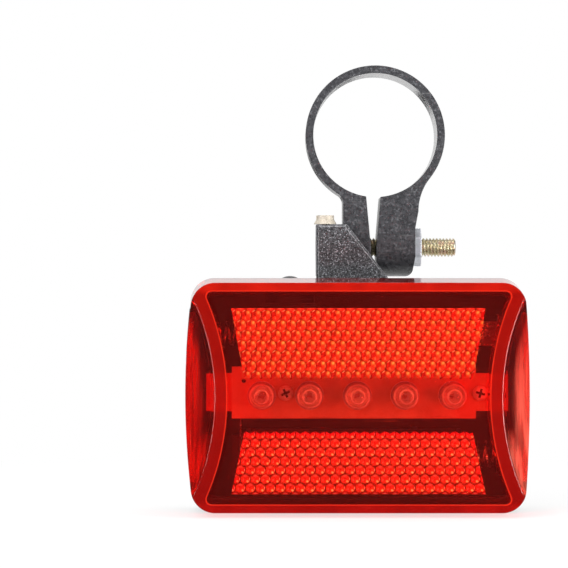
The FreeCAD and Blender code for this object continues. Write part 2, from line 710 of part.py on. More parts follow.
plate_outer = s["contact_reach"]
plate_inner = plate_outer - s["contact_thickness"]
wall_back = housing_inside + s["housing_wall"] / 2
plate_walls = []
for side_name, sign in (("left", -1), ("right", 1)):
    wall_outer = plate_outer + s["cradle_thickness"]
    near, far = sorted((sign * plate_outer, sign * wall_outer), key=lambda at: at.value)
    plate_walls.append(box(
        f"{side_name}_plate_wall",
        (near, board_back + 1, -(s["cell_height"] + s["contact_width"] / 2)),
        (far, wall_back, s["cell_height"] + s["contact_width"] / 2),
    ))
button_end = s["cell_body_length"] / 2 + s["cell_shift"] + s["cell_button_length"]
button_plate_outer = button_end + s["contact_thickness"]
button_wall = s["button_wall_share"] * (plate_inner - button_plate_outer)
strip_slot = box(
    "strip_slot",
    (
        button_plate_outer - 1, s["board_front"],
        s["cell_height"] - s["strip_width"] / 2 - s["strip_gap"],
    ),
    (
        button_plate_outer + 2 * button_wall,
        s["cell_depth"] + s["contact_width"] / 2 + s["contact_thickness"] + s["strip_gap"],
        s["cell_height"] + s["strip_width"] / 2 + s["strip_gap"],
    ),
)
button_walls = []
for row_name, height, sign in (("upper", s["cell_height"], 1), ("lower", -s["cell_height"], -1)):
    near, far = sorted(
        (sign * button_plate_outer, sign * (button_plate_outer + button_wall)), key=lambda at: at.value)
    button_walls.append(box(
        f"{row_name}_button_wall", (near, board_back + 1, height - s["contact_width"] / 2),
        (far, wall_back, height + s["contact_width"] / 2),
    ))

# The button's bore, its finger dish and the two ledges under the switch board.

button_place = (s["button_x"], s["button_depth"])
button_bore = s["button_diameter"] + 2 * s["button_gap"]
bore_cut = rod(
    "button_bore", "z", (*button_place, half_height_inside - 1), button_bore, s["housing_wall"] + 2)
dish = cone(
    "finger_dish", "z", (*button_place, top_outside - s["dish_depth"]), button_bore / 2,
    s["dish_diameter"] / 2, s["dish_depth"],
)
switch_half_length = s["switch_board_length"] / 2
ledges = []
for side_name, sign in (("left", -1), ("right", 1)):
    near, far = sorted(
        (s["button_x"] + sign * (switch_half_length - 1), s["button_x"] + sign * (switch_half_length + 1)),
        key=lambda at: at.value,
    )
    ledges.append(box(
        f"{side_name}_ledge",
        (near, s["button_depth"] - s["switch_board_width"] / 2, switch_floor + s["switch_board_thickness"]),
        (far, s["button_depth"] + s["switch_board_width"] / 2, half_height_inside + s["housing_wall"] / 2),
    ))

# The slide socket's screws pass through the housing's back.

tongue_left = s["arm_left"] - s["slide_gap"]
tongue_right = s["arm_right"] + s["slide_gap"]
socket_left = tongue_left - s["socket_wall"]
socket_right = tongue_right + s["socket_wall"]
socket_screws_x = (socket_left - s["socket_flange"] / 2, socket_right + s["socket_flange"] / 2)
screw_bores = []
for side_name, place in zip(("left", "right"), socket_screws_x):
    screw_bores.append(rod(
        f"{side_name}_screw_bore", "y", (place, housing_inside - 1, s["socket_screw_height"]),
        s["socket_screw_shank"], s["housing_wall"] + 2,
    ))

housing_solid = fuse("housing_solid", [tray, lip, lip_step, cradle_ribs] + bosses + plate_walls
                     + button_walls + ledges)
node("rear_housing", cut(
    "rear_housing", housing_solid, boss_bores + [bore_cut, dish, strip_slot] + screw_bores))

# LED board with two narrow ends, two screw holes and a wire hole.

board = plate("board_blank", "y", s["board_front"], s["board_thickness"], [
    (s["board_left"], s["board_bottom"]), (s["board_right"], s["board_bottom"]),
    (s["board_right"], s["board_tab_bottom"]), (s["board_tab_reach"], s["board_tab_bottom"]),
    (s["board_tab_reach"], s["board_tab_top"]), (s["board_right"], s["board_tab_top"]),
    (s["board_right"], s["board_top"]), (s["board_left"], s["board_top"]),
    (s["board_left"], s["board_tab_top"]), (-s["board_tab_reach"], s["board_tab_top"]),
    (-s["board_tab_reach"], s["board_tab_bottom"]), (s["board_left"], s["board_tab_bottom"]),
])
board_holes = [rod(
    "wire_hole", "y", (s["board_hole_x"], s["board_front"] - 1, s["board_hole_z"]),
    s["board_hole_diameter"], s["board_thickness"] + 2,
)]
board_screws = []
for side_name in ("left", "right"):
    place = (s[f"board_screw_{side_name}"], s["board_front"], s["board_screw_height"])
    board_holes.append(rod(
        f"{side_name}_board_hole", "y", (place[0], s["board_front"] - 1, place[2]),
        s["board_screw_shank"] + 2 * s["screw_clear"], s["board_thickness"] + 2,
    ))
    board_screws += [
        rod(f"{side_name}_board_screw", "y", place, s["board_screw_shank"], s["board_screw_length"]),
        cone(
            f"{side_name}_board_screw_head", "y",
            (place[0], s["board_front"] - s["board_screw_rise"], place[2]),
            s["board_screw_crown"] / 2, s["board_screw_head"] / 2, s["board_screw_rise"],
        ),
    ]
node("led_board", cut("led_board", board, board_holes))
node("board_screws", fuse("board_screws", board_screws))

# Five LEDs on the board, domes to the front.

led_radius = s["led_diameter"] / 2
for number in range(1, 6):
    led = turned(f"led_{number}", [
        (0, 0), (s["led_flange_diameter"] / 2, 0), (s["led_flange_diameter"] / 2, s["led_flange_height"]),
        (led_radius, s["led_flange_height"]), (led_radius, s["led_length"] - led_radius),
        (0, s["led_length"], led_radius),
    ])
    led.Placement.Rotation = FreeCAD.Rotation(Vector(1, 0, 0), 90)
    node(f"led_{number}", led, ((number - 3) * s["led_pitch"], s["board_front"], 0))

# Controller chip and resistors on the board's back.

board_middle = (s["board_bottom"] + s["board_top"]) / 2
block_node(
    "controller_chip",
    (-(s["chip_length"] / 2), board_back, board_middle - s["chip_width"] / 2),
    (s["chip_length"] / 2, board_back + s["chip_height"], board_middle + s["chip_width"] / 2),
)
resistors = []
for number, pitches in enumerate((-2.25, -0.5, 0.5, 1.5)):
    middle = pitches * s["led_pitch"]
    half_wide, half_long = s["resistor_width"] / 2, s["resistor_length"] / 2
    resistors.append(box(
        f"resistor_{number}", (middle - half_wide, board_back, board_middle - half_long),
        (middle + half_wide, board_back + s["resistor_height"], board_middle + half_long),
    ))
node("chip_resistors", fuse("chip_resistors", resistors))

# Two cells, head to tail: the upper one's button is at the right.

for row_name, sign in (("upper", 1), ("lower", -1)):
    start = s["cell_shift"] - s["cell_body_length"] / 2
    cell_solid = turned(f"{row_name}_cell", [
        (0, start), (s["cell_diameter"] / 2, start),
        (s["cell_diameter"] / 2, start + s["cell_body_length"]),
        (s["cell_button_diameter"] / 2, start + s["cell_body_length"]),
        (s["cell_button_diameter"] / 2, start + s["cell_body_length"] + s["cell_button_length"]),
        (0, start + s["cell_body_length"] + s["cell_button_length"]),
    ])
    cell_solid.Placement.Rotation = FreeCAD.Rotation(Vector(0, 0, 1), Vector(sign, 0, 0))
    node(f"{row_name}_cell", cell_solid, (0, s["cell_depth"], sign * s["cell_height"]))

# Contacts: a plate behind each spring, one at the free button, and the bridge between the rows.

half_contact = s["contact_width"] / 2
contact_front = s["cell_depth"] - half_contact
contact_back = s["cell_depth"] + half_contact
node("negative_contact", fuse("negative_contact", [
    box(
        "negative_plate", (-plate_outer, contact_front, s["cell_height"] - half_contact),
        (-plate_inner, contact_back, s["cell_height"] + half_contact),
    ),
    box(
        "negative_tail", (-plate_outer, board_back, s["board_tab_bottom"]),
        (-plate_inner, contact_back, s["cell_height"] - half_contact),
    ),
]))
node("positive_contact", fuse("positive_contact", [
    box(
        "positive_plate", (-button_plate_outer, contact_front, -(s["cell_height"] + half_contact)),
        (-button_end, contact_back, half_contact - s["cell_height"]),
    ),
    box(
        "positive_tail", (-button_plate_outer, board_back, half_contact - s["cell_height"]),
        (-button_end, contact_back, board_middle),
    ),
]))
bridge_back = contact_back + s["contact_thickness"]
node("series_bridge", fuse("series_bridge", [
    box(
        "bridge_spring_plate", (plate_inner, contact_front, -(s["cell_height"] + half_contact)),
        (plate_outer, contact_back, half_contact - s["cell_height"]),
    ),
    box(
        "bridge_upright", (plate_inner, s["cell_depth"], half_contact - s["cell_height"]),
        (plate_outer, bridge_back, s["cell_height"] + half_contact),
    ),
    box(
        "bridge_button_plate", (button_end, contact_front, s["cell_height"] - half_contact),
        (button_plate_outer, bridge_back, s["cell_height"] + half_contact),
    ),
    box(
        "bridge_strip", (button_end, contact_back, s["cell_height"] - s["strip_width"] / 2),
        (plate_outer, bridge_back, s["cell_height"] + s["strip_width"] / 2),
    ),
]))


def arc_from_corner(start, corner, end):
    """The arc that leaves start and reaches end, tangent to both legs of an even corner."""
    middle = (start + end) * 0.5
    rise = (corner - middle).Length
    half_chord = (end - start).Length / 2
    radius = half_chord * (corner - start).Length / rise
    sagitta = radius - math.sqrt(radius ** 2 - half_chord ** 2)
    top = middle + (corner - middle) * (sagitta / rise)
    return Part.Arc(start, top, end).toShape()


def biarc(start, start_way, end, end_way):
    """Two arcs that join two points and keep to both directions."""
    span = end - start
    ways = start_way + end_way
    bend = 2 * (1 - start_way.dot(end_way))
    along = span.dot(ways)
    leg = (math.sqrt(along ** 2 + bend * span.dot(span)) - along) / bend
    first = start + start_way * leg
    second = end - end_way * leg
    meeting = (first + second) * 0.5
    return [arc_from_corner(start, first, meeting), arc_from_corner(meeting, second, end)]


def battery_spring(length):
    """A conical spring wound about Z, wide at the bottom, its wire's outside filling the length."""
    wire = s["spring_wire"].value
    turns = s["spring_turns"].value
    wide, narrow = s["spring_large"].value / 2, s["spring_small"].value / 2
    rise = length - wire

    def at(turn):
        radius = wide + (narrow - wide) * turn / turns
        angle = 2 * math.pi * turn
        return Vector(radius * math.cos(angle), radius * math.sin(angle), wire / 2 + rise * turn / turns)

    def way(turn):
        step = 1e-4
        return (at(turn + step) - at(turn - step)).normalize()

    half_turns = [half / 2 for half in range(int(round(2 * turns)) + 1)]
    edges = []
    for first, second in zip(half_turns, half_turns[1:]):
        edges += biarc(at(first), way(first), at(second), way(second))
    path = Part.Wire(edges)
    ring = Part.Wire([Part.Circle(at(0), way(0), wire / 2).toShape()])
    solid = path.makePipeShell([ring], True, False)
    gap = rise / turns - wire
    expected = path.Length * math.pi * wire ** 2 / 4
    print(f"spring: {turns} turns, least gap {gap:.2f} mm, volume {solid.Volume:.3f} of {expected:.3f}")
    return solid


spring_end = s["cell_body_length"] / 2 - s["cell_shift"]
spring_length = plate_inner - spring_end
for row_name, sign in (("upper", -1), ("lower", 1)):
    spring = doc.addObject("Part::Feature", f"{row_name}_spring")
    spring.Shape = battery_spring(spring_length.value)
    spring.Placement.Rotation = FreeCAD.Rotation(Vector(0, 0, 1), Vector(-sign, 0, 0))
    node(f"{row_name}_spring", spring, (sign * plate_inner, s["cell_depth"], -sign * s["cell_height"]))

# Mode button, its switch, the switch's board and the ribbon to the LED board.

crown_foot = top_outside + s["button_rise"] - s["button_crown"]
button_radius = s["button_diameter"] / 2
crown = s["button_crown"]
crown_radius = (button_radius * button_radius + crown * crown) / (2 * crown)
flange_radius = s["button_flange_diameter"] / 2
mode_button = turned("mode_button", [
    (0, 0), (flange_radius, 0), (flange_radius, s["button_flange_height"]),
    (button_radius, s["button_flange_height"]), (button_radius, crown_foot - button_bottom),
    (0, crown_foot - button_bottom + crown, crown_radius),
])
node("mode_button", mode_button, (*button_place, button_bottom))
block_node(
    "switch_board",
    (s["button_x"] - switch_half_length, s["button_depth"] - s["switch_board_width"] / 2, switch_floor),
    (
        s["button_x"] + switch_half_length, s["button_depth"] + s["switch_board_width"] / 2,
        switch_floor + s["switch_board_thickness"],
    ),
)
half_switch = s["switch_size"] / 2
node("tact_switch", fuse("tact_switch", [
    box(
        "switch_case",
        (s["button_x"] - half_switch, s["button_depth"] - half_switch, switch_top - s["switch_height"]),
        (s["button_x"] + half_switch, s["button_depth"] + half_switch, switch_top),
    ),
    rod(
        "plunger", "z", (*button_place, switch_top - s["plunger_height"]), s["plunger_diameter"],
        2 * s["plunger_height"],
    ),
]))
ribbon_back = housing_inside - 0.2
ribbon_front = ribbon_back - s["ribbon_thickness"]
ribbon_bottom = board_middle - s["ribbon_thickness"] / 2
node("switch_ribbon", plate(
    "switch_ribbon", "x", s["ribbon_x"] - s["ribbon_width"] / 2, s["ribbon_width"],
    [
        (board_back, ribbon_bottom), (ribbon_back - 1.5, ribbon_bottom),
        (ribbon_back, ribbon_bottom + 1.5, 1.5),
        (ribbon_back, switch_floor), (ribbon_front, switch_floor),
        (ribbon_front, ribbon_bottom + s["ribbon_thickness"] + 0.8),
        (ribbon_front - 0.8, ribbon_bottom + s["ribbon_thickness"], -0.8),
        (board_back, ribbon_bottom + s["ribbon_thickness"]),
    ],
))

# Slide socket on the housing's back, open at the top, and its screws.

plate_back = s["arm_front"] + s["arm_plate"]
socket_back = plate_back + s["slide_gap"] + s["socket_wall"]
socket_floor = s["tongue_end"] - s["slide_gap"] - s["socket_wall"]
socket_middle = (socket_left + socket_right) / 2
socket_solid = fuse("socket_solid", [
    box(
        "socket_block", (socket_left, s["head_depth"], socket_floor),
        (socket_right, socket_back, s["socket_top"]),
    ),
    box(
        "socket_flanges",
        (socket_left - s["socket_flange"], s["head_depth"], s["socket_screw_height"] - s["socket_flange"]),
        (
            socket_right + s["socket_flange"], s["head_depth"] + s["socket_wall"],
            s["socket_screw_height"] + s["socket_flange"],
        ),
    ),
])
socket_cuts = [
    box(
        "tongue_slot", (tongue_left, s["head_depth"] - 1, s["tongue_end"] - s["slide_gap"]),
        (tongue_right, plate_back + s["slide_gap"], s["socket_top"] + 1),
    ),
    box(
        "catch_window", (socket_middle - 3, plate_back - 1, s["socket_top"] - 8),
        (socket_middle + 3, socket_back + 1, s["socket_top"] - 4),
    ),
]
socket_screws = []
for side_name, place in zip(("left", "right"), socket_screws_x):
    seat = s["head_depth"] + s["socket_wall"]
    socket_cuts.append(rod(
        f"{side_name}_flange_bore", "y", (place, s["head_depth"] - 1, s["socket_screw_height"]),
        s["socket_screw_shank"] + 2 * s["screw_clear"], s["socket_wall"] + 2,
    ))
    socket_screws += [
        rod(
            f"{side_name}_socket_screw", "y",
            (place, seat - s["socket_screw_length"] + 1, s["socket_screw_height"]),
            s["socket_screw_shank"], s["socket_screw_length"] - 1,
        ),
        cone(
            f"{side_name}_socket_screw_head", "y", (place, seat, s["socket_screw_height"]),
            s["socket_screw_head"] / 2, s["socket_screw_crown"] / 2, s["socket_screw_rise"],
        ),
    ]
node("slide_socket", cut("slide_socket", socket_solid, socket_cuts))
node("socket_screws", fuse("socket_screws", socket_screws))

# Arm: a plate in front of the ears, its tongue in the socket, and a lug round the bolt.

slant_head = s["arm_left"] + s["arm_top_width"]


def arm_outline(inset):
    """The plate's outline; the slanted side is moved inwards along X."""
    return [
        (s["arm_left"] + inset, s["tongue_end"] + inset), (s["arm_right"] - inset, s["tongue_end"] + inset),
        (s["arm_right"] - inset, s["arm_slant_foot"]), (slant_head - inset, s["arm_top"] - inset),
        (s["arm_left"] + inset, s["arm_top"] - inset),
    ]


arm_plate = body("arm_plate")
bevel_front = profile(arm_plate, "y", s["arm_front"], arm_outline(s["arm_bevel"]))
bevel_back = profile(arm_plate, "y", s["arm_front"] + s["arm_bevel"], arm_outline(size(0)))
bevel = arm_plate.newObject("PartDesign::AdditiveLoft", "arm_bevel_loft")
bevel.Profile = bevel_front
bevel.Sections = [bevel_back]
bevel.Ruled = True
rest = profile(arm_plate, "y", s["arm_front"] + s["arm_bevel"], arm_outline(size(0)))
pad(arm_plate, rest, s["arm_plate"] - s["arm_bevel"], backwards=True)

lug_right = s["left_ear_outer"] - s["lug_gap"]
lug_width = lug_right - s["arm_left"]
lug_low, lug_back = s["bolt_height"] - s["lug_radius"], s["post_depth"] + s["lug_radius"]
lug_block = fuse("lug_block", [
    box("lug_foot", (s["arm_left"], plate_back - 1, lug_low), (lug_right, s["post_depth"], s["arm_top"])),
    rod(
        "lug_round", "x", (s["arm_left"], s["post_depth"], s["bolt_height"]), 2 * s["lug_radius"], lug_width),
])
lug_limit = box("lug_limit", (s["arm_left"], plate_back - 1, lug_low), (lug_right, lug_back, s["arm_top"]))
lug = common("lug", [lug_block, lug_limit])
pocket_diameter = s["washer_diameter"] + 2 * s["pocket_gap"]
bolt_axis = (s["post_depth"], s["bolt_height"])
bolt_bore = s["bolt_diameter"] + 2 * s["bolt_gap"]
arm_screw_bottom = s["arm_top"] - s["arm_screw_length"]
node("bracket_arm", cut("bracket_arm", fuse("arm_solid", [arm_plate, lug]), [
    rod("lug_bore", "x", (s["arm_left"] - 1, *bolt_axis), bolt_bore, lug_width + 2),
    rod("head_pocket", "x", (s["arm_left"] - 1, *bolt_axis), pocket_diameter, s["head_pocket"] + 1),
    rod(
        "arm_screw_bore", "z", (s["arm_screw_x"], s["arm_screw_depth"], arm_screw_bottom),
        s["arm_screw_shank"], s["arm_screw_length"] + 1,
    ),
]))
flange_top = s["arm_screw_length"] + s["arm_screw_flange_height"]
node("arm_screw", turned("arm_screw", [
    (0, 0), (s["arm_screw_shank"] / 2, 0), (s["arm_screw_shank"] / 2, s["arm_screw_length"]),
    (s["arm_screw_flange"] / 2, s["arm_screw_length"]), (s["arm_screw_head"] / 2, flange_top),
    (s["arm_screw_head"] / 2, flange_top + s["arm_screw_head_height"]),
    (0, flange_top + s["arm_screw_head_height"]),
]), (s["arm_screw_x"], s["arm_screw_depth"], arm_screw_bottom))

# Clamp: a split band with two ears, drawn in one outline and rounded about the bolt.

bore_radius = s["bore_diameter"] / 2


def on_bore(x):
    """The height of the bore's lower half at X."""
    across = x - s["post_x"]
    return s["post_height"] - root(bore_radius * bore_radius - across * across)


ear_bottom = s["bolt_height"] - s["lug_radius"]
corner = s["ear_corner"]
ear_foot = s["right_ear_face"] - s["lug_gap"] * 4
band = body("clamp_band_body")
band_outline = profile(band, "y", s["post_depth"] - s["band_depth"] / 2, [
    (s["left_ear_outer"], ear_bottom), (s["split_foot_left"], ear_bottom),
    (s["split_foot_left"], s["bolt_height"]), (s["split_left"], on_bore(s["split_left"])),
    (s["post_x"], s["post_height"] + bore_radius, -bore_radius),
    (s["split_right"], on_bore(s["split_right"]), -bore_radius),
    (s["split_foot_right"], s["bolt_height"]), (s["split_foot_right"], ear_bottom),
    (ear_foot - corner, ear_bottom), (ear_foot, ear_bottom + corner, corner),
    (s["right_ear_face"], s["bolt_height"] - s["bolt_diameter"] / 2),
    (s["right_ear_face"], s["bolt_height"] + s["bolt_diameter"]),
    (s["right_ear_outer"], s["right_ear_root"]),
    (s["right_root_x"], s["right_root_z"], -s["right_fillet"]),
    (s["post_x"], s["post_height"] + band_radius, band_radius),
    (s["left_root_x"], s["left_root_z"], band_radius),
    (s["left_ear_outer"], s["left_ear_root"], -s["left_fillet"]),
])
pad(band, band_outline, s["band_depth"], backwards=True)
band_left = s["post_x"] - s["bore_diameter"]
ear_side = fuse("ear_side", [
    box(
        "ear_side_block", (band_left, s["post_depth"] - s["band_depth"] / 2, s["bolt_height"]),
        (
            s["post_x"] + s["bore_diameter"], s["post_depth"] + s["band_depth"] / 2,
            s["post_height"] + s["bore_diameter"],
        ),
    ),
    rod("ear_side_round", "x", (band_left, *bolt_axis), 2 * s["lug_radius"], 2 * s["bore_diameter"]),
])
nut_seat = s["nut_face"] - s["nut_height"]
node("clamp_band", cut("clamp_band", common("rounded_band", [band, ear_side]), [
    rod("ear_bore", "x", (s["left_ear_outer"] - 1, *bolt_axis), bolt_bore, s["bore_diameter"]),
    hexagon("nut_pocket", (nut_seat, *bolt_axis), s["nut_flats"] + 2 * s["nut_gap"], s["nut_height"] * 2),
]))

# Bolt with its head in the lug's pocket, washer and nut.

washer_seat = s["arm_left"] + s["head_pocket"]
head_seat = washer_seat - s["washer_thickness"]
thread_depth = s["thread_pitch"] * 0.61
shank_end = s["nut_face"] - s["nut_height"]
core = s["bolt_diameter"] - 2 * thread_depth


def threaded_bolt():
    """The bolt along Z from its head's face: plain to the nut, then a ridge for each pitch."""
    points = [(0, 0), (s["bolt_diameter"] / 2, 0), (s["bolt_diameter"] / 2, s["nut_face"] - head_seat)]
    start = s["nut_face"] - head_seat
    ridges = int((s["bolt_end"].value - s["nut_face"].value) / s["thread_pitch"].value)
    for ridge in range(ridges):
        root_height = start + (ridge + 0.45) * s["thread_pitch"]
        crest_height = start + (ridge + 0.9) * s["thread_pitch"]
        points.append((core / 2, root_height))
        points.append((s["bolt_diameter"] / 2, crest_height))
    end = s["bolt_end"] - head_seat
    points += [(core / 2, end), (0, end)]
    return turned("bolt_shank", points)


shank = threaded_bolt()
shank.Placement.Rotation = TURNS["x"]
put(shank, (head_seat, *bolt_axis))
node("clamp_bolt", fuse("clamp_bolt", [
    shank,
    rod(
        "bolt_head", "x", (head_seat - s["bolt_head_height"], *bolt_axis), s["bolt_head_diameter"],
        s["bolt_head_height"],
    ),
]))
nut_block = hexagon("nut_block", (nut_seat, *bolt_axis), s["nut_flats"], s["nut_height"])
node("clamp_nut", cut("clamp_nut", nut_block, [
    rod("nut_bore", "x", (nut_seat - 1, *bolt_axis), s["bolt_diameter"], s["nut_height"] + 2),
]))
node("clamp_washer", cut("clamp_washer", rod(
    "washer_disc", "x", (head_seat, *bolt_axis), s["washer_diameter"], s["washer_thickness"],
), [rod("washer_bore", "x", (head_seat - 1, *bolt_axis), bolt_bore, s["washer_thickness"] + 2)]))

doc.recompute()

failed = [thing.Label for thing in doc.Objects if {"Invalid", "Error"} & set(thing.State)]
if failed:
    raise RuntimeError(f"failed objects: {failed}")
for piece in nodes:
    if piece.Shape.isNull() or not piece.Shape.isValid():
        raise RuntimeError(f"{piece.Label} has no valid shape")

os.makedirs("parts", exist_ok=True)
for piece in nodes:
    piece.Shape.exportStep(f"parts/{piece.Label}.step")
    bounds = piece.Shape.BoundBox
    print(
        f"{piece.Label}: {len(piece.Shape.Solids)} solid, {piece.Shape.Volume:.1f} mm3, "
        f"X {bounds.XMin:.1f} {bounds.XMax:.1f}, Y {bounds.YMin:.1f} {bounds.YMax:.1f}, "
        f"Z {bounds.ZMin:.1f} {bounds.ZMax:.1f}"
    )
print(f"{len(nodes)} nodes")
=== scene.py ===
# %% [markdown]
# # A bicycle tail light on its seat-post clamp
# The lamp is a red clear box with prism panels, five LEDs and two dry cells. It hangs from a black
# plastic clamp by a short grained arm. The CAD model gives every size. This lesson gives the pieces
# their finish, and remakes the ones whose fine shape matters: the mouldings with their softened
# edges, the prisms, the LEDs, the springs, the screws and the bolt.
#
# Lengths on the object are written in millimetres and multiplied by MM where they meet the scene,
# which is in metres. Only the studio's soft boxes are placed in metres. The origin is the middle of
# the clamp's bore, as in the CAD model.

import math

import bmesh
import bpy
from mathutils import Matrix, Vector


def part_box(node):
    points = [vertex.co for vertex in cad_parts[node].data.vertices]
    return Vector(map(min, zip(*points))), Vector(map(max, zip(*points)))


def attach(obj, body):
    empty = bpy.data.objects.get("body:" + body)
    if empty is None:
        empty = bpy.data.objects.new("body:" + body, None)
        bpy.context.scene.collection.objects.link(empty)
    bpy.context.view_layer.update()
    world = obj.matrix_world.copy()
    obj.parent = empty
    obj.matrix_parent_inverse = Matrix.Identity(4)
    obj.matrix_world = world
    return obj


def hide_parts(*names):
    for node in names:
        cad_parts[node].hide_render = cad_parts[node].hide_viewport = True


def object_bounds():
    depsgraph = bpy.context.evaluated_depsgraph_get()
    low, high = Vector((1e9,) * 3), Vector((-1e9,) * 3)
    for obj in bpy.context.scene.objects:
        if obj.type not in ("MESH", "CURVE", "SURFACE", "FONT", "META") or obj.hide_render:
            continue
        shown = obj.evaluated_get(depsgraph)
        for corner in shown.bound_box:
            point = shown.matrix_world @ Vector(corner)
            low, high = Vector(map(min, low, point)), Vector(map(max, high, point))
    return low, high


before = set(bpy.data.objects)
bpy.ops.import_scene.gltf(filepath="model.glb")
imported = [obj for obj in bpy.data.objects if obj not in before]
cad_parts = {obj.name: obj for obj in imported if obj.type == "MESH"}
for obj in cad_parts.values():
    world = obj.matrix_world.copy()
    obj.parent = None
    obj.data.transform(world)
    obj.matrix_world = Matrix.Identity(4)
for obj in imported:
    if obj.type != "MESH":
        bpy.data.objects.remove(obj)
cad_box = [list(corner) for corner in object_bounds()]
MM = 0.001
# The middle of the lens's flat front.
LENS_MIDDLE = Vector((-4.3, -35.5, -53.4)) * MM
print("CAD box", [[round(at / MM, 1) for at in corner] for corner in cad_box])

# %% [markdown]
# ## Camera
# The photograph is taken square on, from about half a metre, with a long lens. The camera stands a
# little left of and above the middle of the lamp's lens, so the right cheek shows broader than the
# left one. The Standard view shows a colour as it is written, where a film-like view would grey it.

# %% Camera
camera_data = bpy.data.cameras.new("camera")
camera_data.sensor_width = 36
camera_data.lens = 161.3
camera_data.clip_end = 20
camera = bpy.data.objects.new("camera", camera_data)
camera.location = LENS_MIDDLE + Vector((-14.7, -500, 22.4)) * MM
camera.rotation_euler = (math.radians(90), 0, 0)
bpy.context.collection.objects.link(camera)
bpy.context.scene.camera = camera
bpy.context.scene.view_settings.view_transform = "Standard"
print("camera at", [round(at / MM, 1) for at in camera.location])


# %% [markdown]
# ## Small helpers for materials
# A finish is a chain of nodes, and one could join them by hand, line by line. These helpers make a
# node, set its plain values and join it to the next in one call, so a finish reads as a list of
# what is in it. All patterns read the piece's own coordinates, so they stay put when it moves.

# %% Node helpers
def start_material(name):
    """A new material with a Principled shader joined to its output."""
    made = bpy.data.materials.new(name)
    made.use_nodes = True
    tree = made.node_tree
    shader = tree.nodes["Principled BSDF"]
    return made, tree, shader


def add(tree, kind, inputs=None, **settings):
    """A node of that kind. Inputs are values or the sockets they are joined to."""
    node = tree.nodes.new(kind)
    for key, value in settings.items():
        setattr(node, key, value)
    for key, value in (inputs or {}).items():
        fill(tree, node.inputs[key], value)
    return node


def fill(tree, socket, value):
    """Join the socket to another one, or give it a plain value."""
    if isinstance(value, bpy.types.NodeSocket):
        tree.links.new(value, socket)
    else:
        socket.default_value = value


def place(tree):
    """The piece's own coordinates, in metres."""
    return add(tree, "ShaderNodeTexCoord").outputs["Object"]


def noise(tree, size, detail=3, roughness=0.5):
    """A cloudy pattern whose blots are about that many millimetres."""
    return add(tree, "ShaderNodeTexNoise", {
        "Vector": place(tree), "Scale": 1 / (size * MM), "Detail": detail, "Roughness": roughness,
    }).outputs["Fac"]


def spread(tree, value, low, high, to_low=0, to_high=1):
    """The value moved from one range to another, and held at its ends."""
    return add(tree, "ShaderNodeMapRange", {
        "Value": value, "From Min": low, "From Max": high, "To Min": to_low, "To Max": to_high,
    }).outputs["Result"]


def mix_colour(tree, amount, first, second):
    """The first colour where the amount is 0, and the second where it is 1."""
    node = add(tree, "ShaderNodeMix", data_type="RGBA")
    fill(tree, node.inputs[0], amount)
    fill(tree, node.inputs[6], first)
    fill(tree, node.inputs[7], second)
    return node.outputs[2]


def sums(tree, operation, first, second=0.0, third=0.0):
    """One step of arithmetic on numbers or sockets."""
    node = add(tree, "ShaderNodeMath", operation=operation)
    for socket, value in zip(node.inputs, (first, second, third)):
        fill(tree, socket, value)
    return node.outputs[0]


def bump(tree, height, depth, below=None):
    """Bumps that deep, in millimetres, over the bumps below."""
    inputs = {"Height": height, "Distance": depth * MM, "Strength": 1.0}
    if below is not None:
        inputs["Normal"] = below
    return add(tree, "ShaderNodeBump", inputs).outputs["Normal"]


def scratches(tree, length, width, turn, amount):
    """Thin lines at one angle: a noise stretched along them, of which only the peaks are kept."""
    turned = add(tree, "ShaderNodeMapping", {
        "Vector": place(tree), "Rotation": turn,
        "Scale": (1 / (length * MM), 1 / (width * MM), 1 / (width * MM)),
    }).outputs["Vector"]
    lines = add(tree, "ShaderNodeTexNoise", {
        "Vector": turned, "Scale": 1.0, "Detail": 1, "Roughness": 0.5,
    }).outputs["Fac"]
    return spread(tree, lines, 1 - amount - 0.03, 1 - amount + 0.03)


def rgb(red, green, blue):
    """A colour given as the 0 to 255 numbers of a picture."""
    def straight(level):
        level /= 255
        return level / 12.92 if level <= 0.04045 else ((level + 0.055) / 1.055) ** 2.4
    return (straight(red), straight(green), straight(blue), 1)


# %% [markdown]
# ## What a ray sees round the lamp
# The photograph's background is pure white. A floor lit that brightly would flood the lamp with
# light, so the white is told to the rays instead: a ray that comes to the eye straight, or by gloss
# or through clear pieces alone, sees white paper, and every other ray sees a plain pale room.

# %% Which rays see the surroundings
def mirrored_rays(tree):
    """The light path, and a one for rays that come to the eye by gloss or clear pieces alone."""
    path = add(tree, "ShaderNodeLightPath")
    mirrored = sums(tree, "MAXIMUM", path.outputs["Is Glossy Ray"], path.outputs["Is Transmission Ray"])
    direct = sums(tree, "LESS_THAN", path.outputs["Diffuse Depth"], 0.5)
    return path, sums(tree, "MULTIPLY", mirrored, direct)


# %% [markdown]
# ## Floor
# A plane carries the lamp and takes its soft shadow. The mirrored paper lies straight behind the
# lamp and, in front of it, to both sides. Elsewhere a mirrored ray finds the dark room behind the
# photographer, or its image would lie as a grey veil over the flat front of the clear box.

# %% Floor plane
floor_level = cad_box[0][2]
floor_mesh = bpy.data.meshes.new("floor")
shape = bmesh.new()
bmesh.ops.create_grid(
    shape, x_segments=1, y_segments=1, size=6, matrix=Matrix.Translation((0, 0, floor_level)))
shape.to_mesh(floor_mesh)
shape.free()
floor = bpy.data.objects.new("floor", floor_mesh)
bpy.context.collection.objects.link(floor)
print("floor at", round(floor_level / MM, 1))

# %% Floor's paper
# Each pair says where, in millimetres, the paper or the shadow starts and where it is full or gone.
BEHIND, BEHIND_HALF_WIDTH = (-30, 10), (130, 100)
BEFORE, BEFORE_CLEAR_OF = ((-500, -400), (-35, -45)), (80, 90)
SHADOW_REACH, SHADOW_SHARE = (30, 160), 0.35
DARK_ROOM = 0.04

